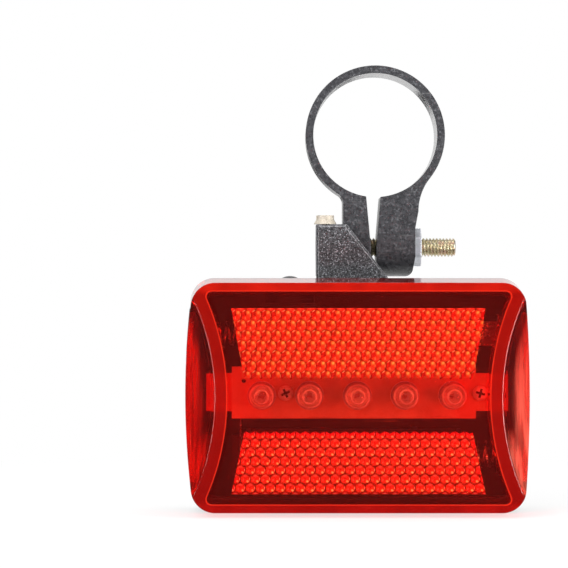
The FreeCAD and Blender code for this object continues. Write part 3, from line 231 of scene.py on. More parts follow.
floor_material, tree, shader = start_material("floor_white")
shader.inputs["Base Color"].default_value = (0.8, 0.8, 0.8, 1)
shader.inputs["Roughness"].default_value = 0.8
floor_mesh.materials.append(floor_material)
path, mirrored = mirrored_rays(tree)
scaled = add(tree, "ShaderNodeVectorMath", {0: place(tree), "Scale": 1 / MM}, operation="SCALE")
floor_at = add(tree, "ShaderNodeSeparateXYZ", {0: scaled.outputs[0]}).outputs
aside = sums(tree, "ABSOLUTE", floor_at["X"])
straight_behind = sums(
    tree, "MULTIPLY", spread(tree, floor_at["Y"], *BEHIND), spread(tree, aside, *BEHIND_HALF_WIDTH))
before = sums(tree, "MULTIPLY", *(spread(tree, floor_at["Y"], *edge) for edge in BEFORE))
before = sums(tree, "MULTIPLY", before, spread(tree, aside, *BEFORE_CLEAR_OF))
paper = sums(tree, "MAXIMUM", straight_behind, before)
seen = sums(tree, "MAXIMUM", path.outputs["Is Camera Ray"], sums(tree, "MULTIPLY", mirrored, paper))

# %% Floor's shadow
foot = (LENS_MIDDLE.x / MM, -20, floor_level / MM)
away = add(tree, "ShaderNodeVectorMath", {0: scaled.outputs[0], 1: foot}, operation="DISTANCE")
shadow_share = spread(tree, away.outputs["Value"], *SHADOW_REACH, SHADOW_SHARE, 0.0)
eye_share = sums(tree, "MULTIPLY", seen, sums(tree, "SUBTRACT", 1.0, shadow_share))
lit_paper = add(tree, "ShaderNodeEmission", {"Color": (1, 1, 1, 1), "Strength": 1.0})
blend = add(tree, "ShaderNodeMixShader", {0: eye_share, 1: shader.outputs[0], 2: lit_paper.outputs[0]})
dark = sums(tree, "MULTIPLY", mirrored, sums(tree, "SUBTRACT", 1.0, paper))
unlit = add(tree, "ShaderNodeEmission", {"Color": (1, 1, 1, 1), "Strength": DARK_ROOM})
shaded = add(tree, "ShaderNodeMixShader", {0: dark, 1: blend.outputs[0], 2: unlit.outputs[0]})
tree.links.new(shaded.outputs[0], tree.nodes["Material Output"].inputs["Surface"])

# %% [markdown]
# ## Sky
# The camera sees white all round. A mirrored ray sees white paper only where it leaves away from
# the photographer, and the light that falls on the lamp is a plain grey from every side.

# %% Sky
world = bpy.data.worlds.new("studio")
bpy.context.scene.world = world
world.use_nodes = True
tree = world.node_tree
background = tree.nodes["Background"]
path, mirrored = mirrored_rays(tree)
direction = add(tree, "ShaderNodeTexCoord").outputs["Generated"]
away = add(tree, "ShaderNodeSeparateXYZ", {0: direction}).outputs["Y"]
paper = spread(tree, away, 0.6, 0.85, 0.03, 1.0)
plain_light = sums(tree, "MULTIPLY", sums(tree, "SUBTRACT", 1.0, mirrored), 0.55)
light = sums(tree, "ADD", sums(tree, "MULTIPLY", mirrored, paper), plain_light)
strength = sums(tree, "MAXIMUM", light, path.outputs["Is Camera Ray"])
fill(tree, background.inputs["Strength"], strength)
background.inputs["Color"].default_value = (1, 1, 1, 1)


# %% [markdown]
# ## Lamps
# A broad soft box above and to the left gives the form, a long one stands to the right, and one
# hangs overhead. Two small ones spark in the screws and the LEDs. Two little strips stand just
# outside the view, and their mirror images are the bright lines down the lens's concave ends.

# %% Lamps
def soft_box(name, at, towards, width, height, power):
    """A rectangular lamp that lights the object and that the camera doesn't see."""
    data = bpy.data.lights.new(name, "AREA")
    data.shape = "RECTANGLE"
    data.size, data.size_y, data.energy = width, height, power
    lamp = bpy.data.objects.new(name, data)
    lamp.location = at
    lamp.rotation_euler = (Vector(towards) - Vector(at)).to_track_quat("-Z", "Y").to_euler()
    lamp.visible_camera = False
    bpy.context.collection.objects.link(lamp)
    return lamp


BODY = (0, -0.02, -0.04)
FACE = (0, -0.03, -0.04)
soft_box("key", (-0.45, -0.55, 0.45), BODY, 0.5, 0.35, 3.8)
soft_box("side", (0.5, -0.25, 0.1), BODY, 0.15, 0.5, 1.5)
soft_box("top", (0.0, 0.05, 0.6), BODY, 0.6, 0.3, 3.0)
soft_box("left_spark", (-0.27, -0.42, 0.1), FACE, 0.04, 0.04, 0.14)
soft_box("right_spark", (0.27, -0.38, 0.2), FACE, 0.05, 0.05, 0.25)
soft_box("left_strip", (-0.135, -0.135, -0.062), (-0.035, -0.0355, -0.05), 0.05, 0.026, 0.045)
soft_box("right_strip", (0.13, -0.135, -0.06), (0.028, -0.0355, -0.05), 0.05, 0.026, 0.1)
print("lamps", len(bpy.data.lights))


# %% [markdown]
# ## Copies with softened edges
# A moulding has no knife edges: even a sharp one is rounded by a few tenths of a millimetre, and
# that thin round catches the light as a bright line. A Bevel modifier would do on a clean mesh, but
# a CAD mesh is loose triangles, so a copy is merged, its flat faces are joined, and its sharp edges
# are bevelled. Long thin triangles shade badly when their facing is guessed anew, so each corner
# carries the facing of the true CAD surface through these steps.

# %% Pieces from a bmesh
def from_bmesh(name, shape, body, materials, smooth=30):
    """A finished piece from a bmesh, riding on its body."""
    mesh = bpy.data.meshes.new(name)
    shape.to_mesh(mesh)
    shape.free()
    for material in materials:
        mesh.materials.append(material)
    mesh.polygons.foreach_set("use_smooth", [True] * len(mesh.polygons))
    mesh.set_sharp_from_angle(angle=math.radians(smooth))
    facing = mesh.attributes.get("facing")
    if facing:
        mesh.normals_split_custom_set([Vector(corner.vector) for corner in facing.data])
        mesh.attributes.remove(mesh.attributes["facing"])
    piece = bpy.data.objects.new(name, mesh)
    bpy.context.collection.objects.link(piece)
    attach(piece, body)
    return piece


# %% Merged copies
SAME_PLACE = 0.002 * MM
FLAT = math.radians(0.05)


def merged_copy(node):
    """A CAD piece with its flat faces joined. Each corner remembers how the CAD surface faces."""
    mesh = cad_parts[node].data.copy()
    facing = mesh.attributes.new("facing", "FLOAT_VECTOR", "CORNER")
    normals = [part for corner in mesh.corner_normals for part in corner.vector]
    facing.data.foreach_set("vector", normals)
    shape = bmesh.new()
    shape.from_mesh(mesh)
    bpy.data.meshes.remove(mesh)
    bmesh.ops.remove_doubles(shape, verts=shape.verts, dist=SAME_PLACE)
    bmesh.ops.dissolve_degenerate(shape, edges=shape.edges, dist=SAME_PLACE)
    bmesh.ops.dissolve_limit(
        shape, angle_limit=FLAT, verts=shape.verts, edges=shape.edges, use_dissolve_boundaries=False)
    return shape


# %% Softened edges
def soften(shape, radius, segments=2, least_angle=25, wanted=None):
    """Bevel the edges sharper than the angle, all of them or the wanted ones. Gives the rounds."""
    sharp = [
        edge for edge in shape.edges
        if len(edge.link_faces) == 2 and edge.calc_face_angle(0) > math.radians(least_angle)
        and (wanted is None or wanted(edge))
    ]
    made = bmesh.ops.bevel(
        shape, geom=sharp, offset=radius * MM, segments=segments, profile=0.5, affect="EDGES",
        material=-1, clamp_overlap=True)
    rounds = set(made["faces"])
    face_round_edges(shape, rounds)
    return rounds


def face_round_edges(shape, rounds):
    """Where a round meets a CAD face it faces as the face does, and smooth shading does the rest."""
    facing = shape.loops.layers.float_vector["facing"]
    for face in rounds:
        for corner in face.loops:
            beside = [other[facing] for other in corner.vert.link_loops if other.face not in rounds]
            corner[facing] = max(beside, key=face.normal.dot) if beside else (0, 0, 0)


# %% [markdown]
# ## Red clear plastic
# The lens is clear red acrylic. Light that comes to the eye through it passes twice, in and out, so
# the window alone lets a third of the green and a quarter of the blue through, and the thick walls
# less. Three things make it more than tinted glass. In front of the prisms the tint is weaker, so
# that the glints painted on them show orange.
# Where the front stands over a wall, one looks down the length of the wall and sees solid red, with
# painted light that makes the top wall brighter than the bottom one, and a painted highlight line
# where wall and window meet. The cheeks show upright streaks of what lies behind, and the right
# cheek a painted pink reflection.
# Lamps shine through a real clear lens, which path tracing finds slowly, so lamp rays pass it
# straight, tinted.

# %% Places on the lens
def lens_place(tree):
    """Where a point is from the lens's middle, in millimetres, as separate numbers."""
    moved = add(tree, "ShaderNodeVectorMath", {0: place(tree), 1: tuple(-LENS_MIDDLE)}, operation="ADD")
    scaled = add(tree, "ShaderNodeVectorMath", {0: moved.outputs[0], "Scale": 1 / MM}, operation="SCALE")
    return add(tree, "ShaderNodeSeparateXYZ", {0: scaled.outputs[0]}).outputs


def length_of(tree, first, second):
    """The long side of a right triangle."""
    squares = [sums(tree, "MULTIPLY", side, side) for side in (first, second)]
    return sums(tree, "SQRT", sums(tree, "ADD", *squares))


def distance_to_ends(tree, x, z):
    """From the nearer of the two centres about which the front's concave ends are struck."""
    return length_of(tree, sums(tree, "SUBTRACT", ARC_MIDDLE, sums(tree, "ABSOLUTE", x)), z)


def near(tree, value, level, half_width):
    """One at the level, and nothing a half width away from it."""
    off = sums(tree, "ABSOLUTE", sums(tree, "SUBTRACT", value, level))
    return spread(tree, off, half_width, half_width * 0.4)


# The concave ends are arcs about centres this far aside, and a rib stands behind each arc.
ARC_MIDDLE, ARC_RADIUS, RIB_OUTER = 75.1, 46.8, 49.2
WINDOW_TOP, WINDOW_CORNER = 21.0, 1.7


def window_distance(tree, ring, height):
    """How far inside the window's clear field a point is, whose four corners are rounded."""
    past_rib = sums(tree, "SUBTRACT", RIB_OUTER + WINDOW_CORNER, ring)
    past_wall = sums(tree, "SUBTRACT", height, WINDOW_TOP - WINDOW_CORNER)
    corner = length_of(tree, *(sums(tree, "MAXIMUM", way, 0.0) for way in (past_rib, past_wall)))
    return sums(tree, "SUBTRACT", WINDOW_CORNER, corner)


# How much a prism panel narrows at each side.
SLANT = 2.6


def over_panel(tree, x, z, node, wide_at_top):
    """One in front of a prism panel's trapezoid."""
    low, high = ((corner - LENS_MIDDLE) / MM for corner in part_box(node))
    half, tall = (high.x - low.x) / 2 + 0.2, high.z - low.z
    wide_level, way = (high.z, -1) if wide_at_top else (low.z, 1)
    past = sums(tree, "SUBTRACT", z, wide_level)
    limit = sums(tree, "SUBTRACT", half, sums(tree, "MULTIPLY", past, way * SLANT / tall))
    inside = spread(tree, sums(tree, "SUBTRACT", limit, sums(tree, "ABSOLUTE", x)), -0.1, 0.3)
    toothed, plain_edge = (0.6, 0.9), (-0.3, 0.1)
    starts, ends = (toothed, plain_edge) if wide_at_top else (plain_edge, toothed)
    above = spread(tree, z, *(low.z + inset for inset in starts))
    below = spread(tree, z, *(high.z - inset for inset in ends))
    return sums(tree, "MULTIPLY", inside, sums(tree, "MULTIPLY", above, below))


# %% Clear plastic
def let_lamps_through(tree, shader, tint):
    """Lamp rays pass straight through the surface, tinted once."""
    path = add(tree, "ShaderNodeLightPath")
    clear = add(tree, "ShaderNodeBsdfTransparent", {"Color": tint})
    blend = add(tree, "ShaderNodeMixShader", {
        0: path.outputs["Is Shadow Ray"], 1: shader.outputs[0], 2: clear.outputs[0]})
    tree.links.new(blend.outputs[0], tree.nodes["Material Output"].inputs["Surface"])


def clear_shader(tree, shader, colour, roughness=0.03):
    """Clear acrylic, faintly wavy and finely scuffed."""
    fill(tree, shader.inputs["Base Color"], colour)
    shader.inputs["IOR"].default_value = 1.49
    shader.inputs["Roughness"].default_value = roughness
    shader.inputs["Transmission Weight"].default_value = 1.0
    scuffs = scratches(tree, 9, 0.09, (0, 0.7, 0.4), 0.28)
    waves = noise(tree, 14, detail=1)
    normal = bump(tree, scuffs, 0.004, bump(tree, waves, 0.02))
    fill(tree, shader.inputs["Normal"], normal)
    return normal


# %% Lens plastic
# Tints, and how solid the walls, the painted highlight lines beside them and the moulding's haze look.
RED = (0.93, 0.085, 0.05, 1)
WINDOW_RED = (0.98, 0.31, 0.25, 1)
PRISM_RED = (1.0, 0.66, 0.33, 1)
WALL_SHARE, HIGHLIGHT_LINE_SHARE, HAZE_SHARE = 0.82, 0.4, 0.05


def cheek_streaks(tree, ring, height, z):
    """How solid a cheek looks: upright streaks, towards its outer side and its foot."""
    cheek = spread(tree, ring, ARC_RADIUS, ARC_RADIUS - 0.3)
    cheek = sums(tree, "MULTIPLY", cheek, spread(tree, height, 20.5, 19.0))
    upright = add(tree, "ShaderNodeMapping", {"Vector": place(tree), "Scale": (1300, 300, 70)})
    strips = add(tree, "ShaderNodeTexNoise", {
        "Vector": upright.outputs["Vector"], "Scale": 1.0, "Detail": 2}).outputs["Fac"]
    outer = sums(tree, "MAXIMUM", spread(tree, ring, 45.0, 43.6), spread(tree, z, -6, -12))
    streaks = sums(tree, "MULTIPLY", outer, spread(tree, strips, 0.4, 0.66, 0.15, 0.6))
    return cheek, sums(tree, "MULTIPLY", cheek, streaks)


def solid_red(tree, x, z, height, lines, cheek):
    """The colour of walls seen end on, painted lighter on top, of the painted highlight line, and of
    cheeks.
    """
    # Painted light: the walls seen end on are brighter at the top, as if lit from above.
    body = mix_colour(tree, spread(tree, z, -22, 22), rgb(156, 9, 5), rgb(186, 22, 8))
    clouds = spread(tree, noise(tree, 7, detail=2), 0.35, 0.7, 0.0, 0.45)
    body = mix_colour(tree, clouds, body, rgb(120, 4, 2))
    body = mix_colour(tree, spread(tree, height, 21.3, 20.3, 0.0, 0.6), body, rgb(110, 3, 2))
    # Painted highlight: a bright line where wall and window meet.
    body = mix_colour(tree, lines, body, rgb(236, 44, 22))
    # Painted reflection: a pink sheen on the right cheek, growing towards the bottom.
    pink = sums(tree, "MULTIPLY", spread(tree, x, 25, 30), spread(tree, z, 15, -5))
    cheeks = mix_colour(tree, pink, rgb(206, 16, 7), rgb(238, 104, 84))
    return mix_colour(tree, cheek, body, cheeks)


def lens_plastic(name):
    """Clear red, weaker over the prisms, and solid red where one looks down the length of a wall."""
    made, tree, shader = start_material(name)
    x, y, z = lens_place(tree)
    height, ring = sums(tree, "ABSOLUTE", z), distance_to_ends(tree, x, z)
    inside = window_distance(tree, ring, height)
    panels = sums(
        tree, "MAXIMUM", over_panel(tree, x, z, "upper_prism_panel", True),
        over_panel(tree, x, z, "lower_prism_panel", False))
    tint = mix_colour(tree, spread(tree, inside, 0.6, 1.2), RED, WINDOW_RED)
    # Over the prisms the tint is weaker, so that their painted glints show orange.
    tint = mix_colour(tree, panels, tint, PRISM_RED)
    normal = clear_shader(tree, shader, tint)
    front = sums(
        tree, "MULTIPLY", spread(tree, ring, ARC_RADIUS - 0.2, ARC_RADIUS), spread(tree, y, 0.6, 0.3))
    walls = sums(tree, "MULTIPLY", spread(tree, inside, 0.08, -0.08), front)
    # Where the painted highlight line lies, along the edge of the window.
    lines = sums(tree, "MULTIPLY", near(tree, inside, 0.0, 0.17), front)
    cheek, streaks = cheek_streaks(tree, ring, height, z)
    body = solid_red(tree, x, z, height, lines, cheek)
    solid = add(tree, "ShaderNodeBsdfPrincipled", {
        "Base Color": body, "Roughness": 0.1, "IOR": 1.49, "Normal": normal})
    haze = add(tree, "ShaderNodeBsdfDiffuse", {"Color": rgb(178, 44, 38)})
    hazy = add(tree, "ShaderNodeMixShader", {0: HAZE_SHARE, 1: shader.outputs[0], 2: haze.outputs[0]})
    walls = sums(tree, "MULTIPLY", walls, WALL_SHARE)
    share = sums(tree, "MAXIMUM", walls, sums(tree, "MULTIPLY", lines, HIGHLIGHT_LINE_SHARE))
    share = sums(tree, "MAXIMUM", share, streaks)
    blend = add(tree, "ShaderNodeMixShader", {0: share, 1: hazy.outputs[0], 2: solid.outputs[0]})
    let_lamps_through(tree, blend, tint)
    return made


window_red = lens_plastic("lens_red_clear")

# %% [markdown]
# ## The lens
# One clear red moulding. Its front is flat between two concave ends, and behind each end a cheek
# slopes back to the side. One could model it again from its outline, but the CAD solid is exact, so
# the copy keeps every face of it and rounds the front's rim alone, which the photograph shows as a
# thin white line down each concave end. The inner edges stay sharp, as they are in a steel mould.

# %% Lens
def at_front(edge):
    """Whether an edge lies in the flat front."""
    return all(vertex.co.y < LENS_MIDDLE.y + 0.02 * MM for vertex in edge.verts)


shape = merged_copy("front_lens")
rounds = soften(shape, 0.55, segments=4, wanted=at_front)
print("lens faces", len(shape.faces), "of them round", len(rounds))
lens = from_bmesh("lens", shape, "lens", [window_red])
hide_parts("front_lens")

# %% [markdown]
# ## Prism plastic
# The two reflectors are fields of cube corners: pits with three square sides, which throw light
# back where it came from. What one sees in a pit is a mirror image of a mirror image, the same in
# every cell: a few glints and dark lines. Tracing them truly would need thousands of bounces, so
# they are painted on: each facet gets painted light or shade, as if lit from above and to the right,
# and the glints and dark lines are painted marks on each cell's own UV map, with a painted dark line
# round each rim. The colours are named as they look in front, and made brighter by what the tint
# takes away: it acts once on the eye's ray and twice on a lamp's.

# %% Colours behind the window
def seen_through(red, green, blue):
    """The colour that looks like this through the lens."""
    levels = zip(rgb(red, green, blue)[:3], PRISM_RED)
    return tuple(min(1.0, level / tint ** 3) for level, tint in levels) + (1,)


def stroke(tree, at, middle, turn, length, width):
    """One in the middle of a stroke, fading to nothing at its edge. Lengths are in cell pitches."""
    local = add(tree, "ShaderNodeMapping", {
        "Vector": at, "Location": (*middle, 0), "Rotation": (0, 0, math.radians(turn)),
        "Scale": (length, width, 1),
    }, vector_type="TEXTURE").outputs["Vector"]
    away = add(tree, "ShaderNodeVectorMath", {0: local}, operation="LENGTH").outputs["Value"]
    return spread(tree, away, 1.0, 0.35)


# %% Prism plastic
# The rim's number is 0 in a cell's middle, 1 on its rim, and this on the cut edges and the back.
CUT_EDGE = 2.0


def prism_plastic(name, painted_facet_shades, outline, painted_glints_and_lines):
    """Red facets in painted light and shade, the painted glints each cell repeats, a painted dark rim
    line.
    """
    made, tree, shader = start_material(name)
    facet = add(tree, "ShaderNodeAttribute", attribute_name="facet").outputs["Fac"]
    rim = add(tree, "ShaderNodeAttribute", attribute_name="rim").outputs["Fac"]
    cell = add(tree, "ShaderNodeUVMap", uv_map="cell").outputs["UV"]
    # Each facet's tone is painted light or shade, as if lit from above and to the right.
    shade = mix_colour(tree, spread(tree, facet, 0.2, 0.3), painted_facet_shades[0], painted_facet_shades[1])
    shade = mix_colour(tree, spread(tree, facet, 0.7, 0.8), shade, painted_facet_shades[2])
    # A painted dark line round each cell's rim.
    shade = mix_colour(tree, spread(tree, rim, 0.68, 0.9, 0.0, outline), shade, seen_through(78, 2, 0))
    # Each mark is a painted glint or a painted dark line.
    for middle, turn, length, width, strength, colour in painted_glints_and_lines:
        amount = sums(tree, "MULTIPLY", stroke(tree, cell, middle, turn, length, width), strength)
        shade = mix_colour(tree, amount, shade, seen_through(*colour))
    clouds = spread(tree, noise(tree, 0.7, detail=2), 0.42, 0.7, 0.0, 0.5)
    shade = mix_colour(tree, clouds, shade, seen_through(232, 22, 8))
    cut_or_back = spread(tree, rim, CUT_EDGE - 0.8, CUT_EDGE - 0.4)
    shade = mix_colour(tree, cut_or_back, shade, (0.4, 0.012, 0.006, 1))
    fill(tree, shader.inputs["Base Color"], shade)
    shader.inputs["Roughness"].default_value = 0.18
    shader.inputs["IOR"].default_value = 1.49
    return made


# %% [markdown]
# ## Prism panels
# Each cell is a hexagon, so it starts from a circle of six corners, poked in its middle. Sinking
# the middle and lifting every second corner makes the three facets. An array modifier could repeat
# the cell, but every other row is shifted by half a pitch, so a loop lays them out. The cells are
# merged, and the field is cut to the panel's slanted ends. Towards the LEDs a facet is left out of
# each cell of the last row, which gives the panel its toothed edge.

# %% One cell
# How far apart the cells stand in a row, and how deep their corners lie.
PITCH = 1.97
PIT_DEPTH, VALLEY, CREST = 1.62, 0.82, 0.02


def prism_cell(row_pitch, first_facet):
    """One cell about its middle, its facets centred on that corner and every second one after it."""
    cell = bmesh.new()
    facet = cell.faces.layers.float.new("facet")
    rim = cell.loops.layers.float.new("rim")
    local = cell.loops.layers.uv.new("cell")
    bmesh.ops.create_circle(cell, cap_ends=True, segments=6, radius=1)
    middle = bmesh.ops.poke(cell, faces=cell.faces[:])["verts"][0]
    across, up = PITCH / 2 / math.cos(math.radians(30)), row_pitch / 1.5
    for corner in cell.verts:
        if corner is middle:
            corner.co = (0, PIT_DEPTH, 0)
            continue
        turn = 30 + 60 * round((math.degrees(math.atan2(corner.co.y, corner.co.x)) - 30) / 60)
        depth = CREST if (turn - first_facet) % 120 == 0 else VALLEY
        turn = math.radians(turn)
        corner.co = (across * math.cos(turn), depth, up * math.sin(turn))
    for face in cell.faces:
        highest = min(face.verts, key=lambda corner: corner.co.y)
        turn = round(math.degrees(math.atan2(highest.co.z / up, highest.co.x / across))) % 360
        face[facet] = ((turn - first_facet) % 360) / 240
        for loop in face.loops:
            loop[rim] = 0.0 if loop.vert is middle else 1.0
            loop[local].uv = (loop.vert.co.x / PITCH, loop.vert.co.z / PITCH)
    mesh = bpy.data.meshes.new("cell")
    cell.to_mesh(mesh)
    cell.free()
    return mesh


# %% A field of cells, cut to shape
def cell_field(cell, start, front, rows, row_pitch):
    """Rows of cells from a start (X, Z), each row shifted by half a pitch from the last."""
    shape = bmesh.new()
    for row in range(rows):
        for column in range(-3, 27):
            before = len(shape.verts)
            shape.from_mesh(cell)
            shape.verts.ensure_lookup_table()
            x = start[0] + (column - 0.5 * (row % 2)) * PITCH
            shift = Vector((x, front, start[1] - row * row_pitch))
            bmesh.ops.translate(shape, verts=shape.verts[before:], vec=shift)
    return shape


def trim(shape, at, outward):
    """Cut away what lies past a plane."""
    geometry = shape.verts[:] + shape.edges[:] + shape.faces[:]
    bmesh.ops.bisect_plane(shape, geom=geometry, plane_co=at, plane_no=outward, clear_outer=True)


def close_behind(shape, level):
    """Walls from the field's edge back to that level, and a flat back. Gives the new faces."""
    cells = set(shape.faces)
    edge = [edge for edge in shape.edges if edge.is_boundary]
    back = bmesh.ops.extrude_edge_only(shape, edges=edge)["geom"]
    for vertex in back:
        if isinstance(vertex, bmesh.types.BMVert):
            vertex.co.y = level
    back_edges = [edge for edge in back if isinstance(edge, bmesh.types.BMEdge)]
    bmesh.ops.triangle_fill(shape, use_beauty=True, edges=back_edges)
    return [face for face in shape.faces if face not in cells]


def prism_panel(name, node, material, first_facet, start, rows, row_pitch, toothed_row, missing):
    """A field of cells, cut to the node's trapezoid. The toothed row lacks one facet of each cell."""
    low, high = ((corner - LENS_MIDDLE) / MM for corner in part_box(node))
    cell = prism_cell(row_pitch, first_facet)
    shape = cell_field(cell, start, low.y, rows, row_pitch)
    bpy.data.meshes.remove(cell)
    upper = toothed_row > 0
    toothed = start[1] - toothed_row * row_pitch
    facet = shape.faces.layers.float["facet"]
    teeth = []
    for face in shape.faces:
        above = face.calc_center_median().z - toothed
        if abs(above) < row_pitch * 0.75 and abs(face[facet] - missing) < 0.1:
            if above * (-1 if upper else 1) > -0.05:
                teeth.append(face)
    bmesh.ops.delete(shape, geom=teeth, context="FACES")
    trim(shape, (0, 0, high.z), (0, 0, 1))
    trim(shape, (0, 0, low.z), (0, 0, -1))
    wide, tall = (high.x - low.x) / 2, high.z - low.z
    for side in (-1, 1):
        foot = (side * wide, 0, high.z if upper else low.z)
        trim(shape, foot, Vector((side * tall, 0, -SLANT if upper else SLANT)).normalized())
    bmesh.ops.remove_doubles(shape, verts=shape.verts, dist=0.01)
    rim = shape.loops.layers.float["rim"]
    for face in close_behind(shape, high.y - 0.02):
        for corner in face.loops:
            corner[rim] = CUT_EDGE
    bmesh.ops.recalc_face_normals(shape, faces=shape.faces)
    bmesh.ops.scale(shape, vec=(MM, MM, MM), verts=shape.verts)
    bmesh.ops.translate(shape, vec=LENS_MIDDLE, verts=shape.verts)
    open_edges = sum(edge.is_boundary for edge in shape.edges)
    print(name, "faces", len(shape.faces), "open edges", open_edges)
    panel = from_bmesh(name, shape, "lens", [material], smooth=10)
    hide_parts(node)


# %% The two panels' plastic
# Three facet tones of painted light and shade, the painted rim line's strength, then the marks.
# Each mark, a painted glint or dark line: its middle, turn, length, width, strength and colour.
upper_plastic = prism_plastic(
    "upper_prism_plastic",
    (seen_through(236, 50, 13), seen_through(182, 10, 3), seen_through(234, 38, 12)), 0.75, [
        ((0.24, 0.28), 0, 0.3, 0.27, 0.8, (255, 100, 26)),
        ((0.25, 0.31), 60, 0.2, 0.14, 1.0, (255, 184, 44)),
        ((-0.19, 0.46), 38, 0.26, 0.06, 0.9, (255, 122, 104)),
        ((0.26, 0.51), -34, 0.32, 0.05, 0.8, (120, 4, 0)),
        ((0.0, 0.64), 0, 0.1, 0.1, 0.9, (84, 2, 0)),
        ((0.48, 0.35), 0, 0.1, 0.1, 0.9, (84, 2, 0)),
        ((-0.05, -0.25), 90, 0.18, 0.05, 0.8, (255, 150, 84)),
        ((0.45, 0.02), 90, 0.24, 0.05, 0.7, (255, 128, 88)),
    ])
lower_plastic = prism_plastic(
    "lower_prism_plastic",
    (seen_through(240, 36, 13), seen_through(226, 24, 7), seen_through(234, 29, 8)), 0.95, [
        ((0.0, 0.3), 0, 0.26, 0.2, 0.8, (255, 66, 32)),
        ((0.0, 0.0), 0, 0.2, 0.2, 0.7, (220, 14, 5)),
        ((0.25, 0.44), -31, 0.32, 0.075, 0.95, (122, 4, 0)),
        ((-0.25, -0.44), -31, 0.32, 0.075, 0.95, (122, 4, 0)),
        ((0.31, 0.0), 90, 0.18, 0.055, 0.8, (140, 6, 2)),
        ((0.43, 0.0), 90, 0.18, 0.05, 0.9, (255, 112, 72)),
        ((0.22, -0.25), 0, 0.15, 0.13, 1.0, (255, 138, 62)),
        ((-0.2, -0.12), 60, 0.16, 0.05, 0.6, (255, 84, 44)),
    ])

# %% The two panels
prism_panel(
    "upper_prisms", "upper_prism_panel", upper_plastic, first_facet=30, start=(-21.25, 18.2),
    rows=8, row_pitch=2.0, toothed_row=7, missing=1.0)
prism_panel(
    "lower_prisms", "lower_prism_panel", lower_plastic, first_facet=90, start=(-21.35, -7.25),
    rows=8, row_pitch=1.76, toothed_row=0, missing=0.0)

# %% [markdown]
# ## LEDs
# A 5 mm LED is a clear epoxy bullet on a flange. Inside stand two flat posts, and the larger one
# ends in a little cup that holds the chip. The epoxy bends light over the cup as a thick lens does,
# and one sees it as pale rings. Path tracing finds those glints slowly, so they are painted: the
# epoxy turns pale and diffuse in two rings about its axis, and along the flange, which is painted
# pale as a highlight too. Elsewhere it is faintly hazy. How far each corner is from the axis is kept
# on the mesh, because the five bullets share one finish.

# %% Metals and other plain finishes
def plain(name, colour, roughness, metallic=0.0, grain=None, wear=0.0):
    """A finish of one colour, with fine bumps and a cloudy change of shade."""
    made, tree, shader = start_material(name)
    darker = tuple(channel * (1 - wear) for channel in colour[:3]) + (1,)
    shade = mix_colour(tree, spread(tree, noise(tree, 2.5), 0.35, 0.65), colour, darker)
    fill(tree, shader.inputs["Base Color"], shade)
    shader.inputs["Metallic"].default_value = metallic
    smooth, dull = roughness * 0.8, min(1.0, roughness * 1.25)
    fill(tree, shader.inputs["Roughness"], spread(tree, noise(tree, 0.8), 0.3, 0.7, smooth, dull))
    if grain:
        size, depth = grain
        fill(tree, shader.inputs["Normal"], bump(tree, noise(tree, size), depth))
    return made


lead_metal = plain("lead_metal", (0.95, 0.94, 0.92, 1), 0.35, metallic=0.25, grain=(0.3, 0.01), wear=0.3)
chip_gold = plain("led_chip_gold", (0.5, 0.2, 0.1, 1), 0.3, metallic=0.5)

# %% Epoxy
# Each painted glint ring is given by its radius and half its width.
FLANGE_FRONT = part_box("led_3")[1].y - 1.0 * MM
OUTER_GLINT_RING, INNER_GLINT_RING = (2.3, 0.3), (1.35, 0.22)


def clear_epoxy(name, tint, roughness):
    """Clear epoxy, faintly hazy, with glints painted as pale rings about the axis and along the flange."""
    made, tree, shader = start_material(name)
    shader.inputs["Base Color"].default_value = tint
    shader.inputs["Transmission Weight"].default_value = 1.0
    shader.inputs["IOR"].default_value = 1.54
    shader.inputs["Roughness"].default_value = roughness
    normal = bump(tree, noise(tree, 1.1, detail=1), 0.16)
    fill(tree, shader.inputs["Normal"], normal)
    depth = add(tree, "ShaderNodeSeparateXYZ", {0: place(tree)}).outputs["Y"]
    flange = spread(tree, depth, FLANGE_FRONT - 0.1 * MM, FLANGE_FRONT + 0.1 * MM)
    across = add(tree, "ShaderNodeAttribute", attribute_name="across").outputs["Fac"]
    # Painted glints: the epoxy turns pale and diffuse on two rings and on the flange.
    rings = sums(tree, "MAXIMUM", near(tree, across, *OUTER_GLINT_RING), near(tree, across, *INNER_GLINT_RING))
    rings = sums(tree, "MAXIMUM", flange, sums(tree, "MULTIPLY", rings, 0.7))
    shade = mix_colour(tree, rings, (0.3, 0.26, 0.36, 1), (1.0, 1.0, 1.0, 1))
    haze_and_glint_share = spread(tree, rings, 0, 1, 0.2, 0.9)
    haze_and_glints = add(tree, "ShaderNodeBsdfDiffuse", {"Color": shade, "Normal": normal})
    blend = add(tree, "ShaderNodeMixShader", {0: haze_and_glint_share, 1: shader.outputs[0], 2: haze_and_glints.outputs[0]})
    let_lamps_through(tree, blend, tint)
    return made


epoxy = clear_epoxy("led_epoxy", (1.0, 0.96, 0.95, 1), 0.02)

# %% [markdown]
# ## Turned and square pieces
# Whatever is round about an axis, such as a bullet, a cup or a screw, is a profile spun through a
# full turn, as a lathe makes it. The last ring is merged with the first, so no seam is left. Posts
# and chips are blocks with bevelled edges.

